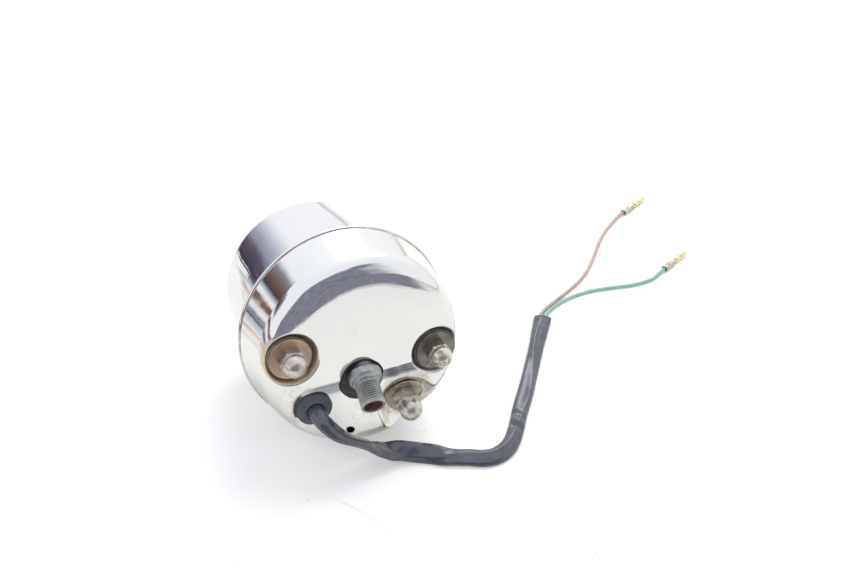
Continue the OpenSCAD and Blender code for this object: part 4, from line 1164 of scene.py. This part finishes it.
# Floor, lamps and surroundings
def hair_lines(k, p):
    """A thin curved hair line on the table, and short scratches."""
    x, y, _ = k.axes(p)
    bent = k.plus(x, k.times(k.noise(p, 60, 2, 0.4), 26))
    gap = k.maths("ABSOLUTE", k.minus(bent, k.plus(k.times(y, -0.42), -46)))
    line = k.times(k.between(gap, 0.75, 0.3), k.between(y, -108, -100), k.between(y, -66, -78))
    scratch = k.patches(k.stretched(p, (1.0, 0.09, 1.0)), 1.6, 0.70, 0.76, 2, 0.5, 0.6)
    return k.most(k.times(line, 0.8), k.times(scratch, k.patches(p, 45, 0.60, 0.68, 3, 0.6)))


# The bands of colour that the chrome mirrors, left of the instrument and behind it: rise above the horizon
# in degrees, and colour
MURK = (0.06, 0.05, 0.07)
BROWN = (0.20, 0.12, 0.10)
SLATE = (0.28, 0.30, 0.36)
GREY = (0.55, 0.59, 0.65)
CREAM = (0.80, 0.78, 0.72)
PINK = (0.95, 0.84, 0.80)
WHITE = (0.94, 0.96, 0.99)
ORANGE = (0.80, 0.42, 0.28)
LEFT_THINGS = [(-20, WHITE), (-17, PINK), (-15, ORANGE), (-13, WHITE), (-10, GREY), (-8, MURK), (-6, SLATE),
               (-3, WHITE), (0, CREAM), (2, BROWN), (5, BROWN), (6.5, PINK), (9, WHITE), (11, GREY),
               (14, MURK), (20, BROWN), (25, SLATE), (28, WHITE)]
BACK_THINGS = [(-20, MURK), (-8, MURK), (-1, (0.12, 0.10, 0.14)), (2, SLATE), (8, GREY),
               (12, (0.72, 0.75, 0.80)), (13, WHITE), (15, BROWN), (22, BROWN), (25, WHITE)]
LOWEST_RISE, HIGHEST_RISE = -20, 30
FLOOR_HALF = 4.0


def banded(k, rise, things):
    share = k.between_plain(rise, LOWEST_RISE, HIGHEST_RISE)
    span = HIGHEST_RISE - LOWEST_RISE
    return k.ramp(share, [((at - LOWEST_RISE) / span, colour) for at, colour in things])


def streak_look(k, x, y, z, grain):
    """Where a direction meets the bands, how far it is straight behind, and the colour there."""
    rise = k.times(k.maths("ARCTAN2", z, k.length(x, y)), math.degrees(1))
    uneven = k.minus(grain, 0.5)
    rise = k.plus(rise, k.times(uneven, 11.0))
    heading = k.times(k.maths("ARCTAN2", x, k.times(y, -1.0)), math.degrees(1))
    heading = k.plus(heading, k.times(uneven, 14.0))
    back = k.between(heading, -149, -156)
    side = k.between(heading, -128, -108)
    high = k.between(rise, 11.5, 13.5)
    inside = k.times(k.between(heading, -55, -63), k.between(rise, 29, 27),
                     k.without(k.times(high, k.between(heading, -158, -163))),
                     k.without(k.times(side, k.between(rise, 4, 8))), k.between(heading, -178, -166))
    return inside, back, k.mix(back, banded(k, rise, LEFT_THINGS), banded(k, rise, BACK_THINGS))


def make_floor():
    mesh = bpy.data.meshes.new("floor")
    h = FLOOR_HALF
    mesh.from_pydata([(-h, -h, 0), (h, -h, 0), (h, h, 0), (-h, h, 0)], [], [(0, 1, 2, 3)])
    floor = bpy.data.objects.new("floor", mesh)
    scene.collection.objects.link(floor)
    k = Look("floor", 0.0, 0.6)
    k.set("Specular IOR Level", 0.1)
    p = k.millimetres()
    x, y, _ = k.axes(p)
    base = k.mix(k.patches(p, 90, 0.3, 0.7, 3, 0.5), (0.90, 0.905, 0.92), (0.93, 0.93, 0.93))
    dust = k.times(k.dots(p, 9, 0.04, 0.095), k.patches(p, 60, 0.46, 0.56, 3, 0.6))
    grit = k.times(k.dots(k.stretched(p, (1.0, 1.3, 1.0)), 3.1, 0.05, 0.10),
                   k.patches(p, 34, 0.62, 0.7, 4, 0.7))
    base = k.mix(k.times(k.most(dust, grit), 0.6), base, (0.36, 0.28, 0.24))
    base = k.mix(k.times(hair_lines(k, p), 0.35), base, (0.35, 0.33, 0.31))
    # in reflections the floor is creamier
    light = k.tree.nodes.new("ShaderNodeLightPath").outputs
    mirrored = light["Is Glossy Ray"]
    k.set("Base Color", k.mix(mirrored, base, k.mix(1.0, base, (0.985, 0.975, 0.915), "MULTIPLY")))
    # there it also ends in front and behind, where a table would, nearer on the left than straight behind
    wave = k.between(k.noise(p, 110, 5, 0.7), 0.0, 1.0, -80, 80)
    front = k.between(k.plus(y, k.times(x, 0.2), wave), -375, -475)
    front = k.times(front, k.between(k.plus(x, k.times(y, 0.62), wave), 110, -70))
    away = k.length(x, y)
    behind, back, streaks = streak_look(k, x, y, -75.0, k.noise(p, 110, 4, 0.6))
    behind = k.times(behind, k.between(k.minus(away, k.times(back, 290)), 175, 212))
    murk = k.mix(k.patches(p, 25, 0.42, 0.6, 5, 0.75), (0.16, 0.165, 0.22), (0.33, 0.33, 0.38))
    dark = k.add("ShaderNodeEmission", None, 0, Color=k.mix(behind, murk, streaks))
    # for the camera alone the floor is lifted to white
    lift = k.add("ShaderNodeEmission", None, 0, Color=base,
                 Strength=k.times(light["Is Camera Ray"], k.between(away, 350, 1800, 0.24, 0.50)))
    lifted = k.add("ShaderNodeAddShader", None, 0, i0=k.surface.outputs[0], i1=lift)
    both = k.add("ShaderNodeMixShader", None, 0, i0=k.times(mirrored, k.most(front, behind)), i1=lifted,
                 i2=dark)
    k.put(k.tree.nodes["Material Output"].inputs[0], both)
    mesh.materials.append(LOOKS["floor"])


def lamp(name, place, target, size, watts):
    """A soft lamp; it stays out of the chrome, which shows the painted room instead."""
    data = bpy.data.lights.new(name, "AREA")
    data.shape = "RECTANGLE"
    data.size, data.size_y = size
    data.energy = watts
    light = bpy.data.objects.new(name, data)
    scene.collection.objects.link(light)
    light.location = place
    light.rotation_euler = (Vector(target) - Vector(place)).to_track_quat("-Z", "Y").to_euler()
    light.visible_glossy = False


def make_surroundings():
    world = bpy.data.worlds.new("surroundings")
    scene.world = world
    world.use_nodes = True
    k = Look(None, tree=world.node_tree)
    toward = k.add("ShaderNodeTexCoord", output=0)
    x, y, z = k.axes(toward)
    wave = k.between(k.noise(toward, 0.42, 4, 0.6), 0.0, 1.0, -0.20, 0.20)
    # one dark mass in front, and bands of colour behind
    front = k.times(k.between(k.plus(z, wave), 0.86, 0.72), k.between(k.plus(y, wave), -0.46, -0.58),
                    k.between(k.plus(x, wave), 0.62, 0.28))
    murk = k.ramp(k.noise(toward, 0.055, 5, 0.75),
                  [(0.40, (0.16, 0.165, 0.22)), (0.55, (0.26, 0.26, 0.32)), (0.68, (0.46, 0.43, 0.45))])
    behind, _, streaks = streak_look(k, x, y, z, k.noise(k.stretched(toward, (1, 1, 0.6)), 0.26, 5, 0.6))
    white = k.mix(k.between(z, 0.0, 0.9), (0.97, 0.975, 0.985), (0.94, 0.96, 1.0))
    # a soft bright patch far behind, which draws the highlights on the sleeve
    bright = (0.37, 0.63, 0.68)
    glow = k.spot(toward, bright, 0.04, 0.38)
    halo = k.spot(toward, bright, 0.10, 1.0)
    white = k.mix(glow, white, (1.0, 1.0, 1.0))
    room = k.add("ShaderNodeBackground", None, 0, Color=k.mix(front, k.mix(behind, white, streaks), murk),
                 Strength=k.plus(1.0, k.times(halo, 0.16), k.times(glow, 2.8)))
    # gloss sees the room, the camera sees white, and everything else gets a plain even light
    even = k.tree.nodes["Background"]
    k.put(even.inputs["Color"], (0.96, 0.975, 1.0))
    k.put(even.inputs["Strength"], 0.62)
    seen = k.add("ShaderNodeBackground", None, 0, Color=(1, 1, 1), Strength=1.0)
    path = k.tree.nodes.new("ShaderNodeLightPath").outputs
    unseen = k.add("ShaderNodeMixShader", None, 0, i0=path["Is Glossy Ray"], i1=even.outputs[0],
                   i2=room)
    direct = k.most(path["Is Camera Ray"], path["Is Transmission Ray"])
    both = k.add("ShaderNodeMixShader", None, 0, i0=direct, i1=unseen, i2=seen)
    k.put(k.tree.nodes["World Output"].inputs[0], both)
    lamp("key", (0.7, 0.5, 1.3), (0, 0, 0), (1.2, 1.0), 14)
    lamp("fill", (-0.9, -0.3, 0.9), (0, 0, 0.05), (0.9, 0.9), 3.5)


def main():
    make_camera()
    make_looks()
    dress_nodes()
    make_cords()
    make_cover()
    make_shell()
    make_hardware()
    make_dial()
    make_floor()
    make_surroundings()
    scene.view_settings.view_transform = "Standard"


main()
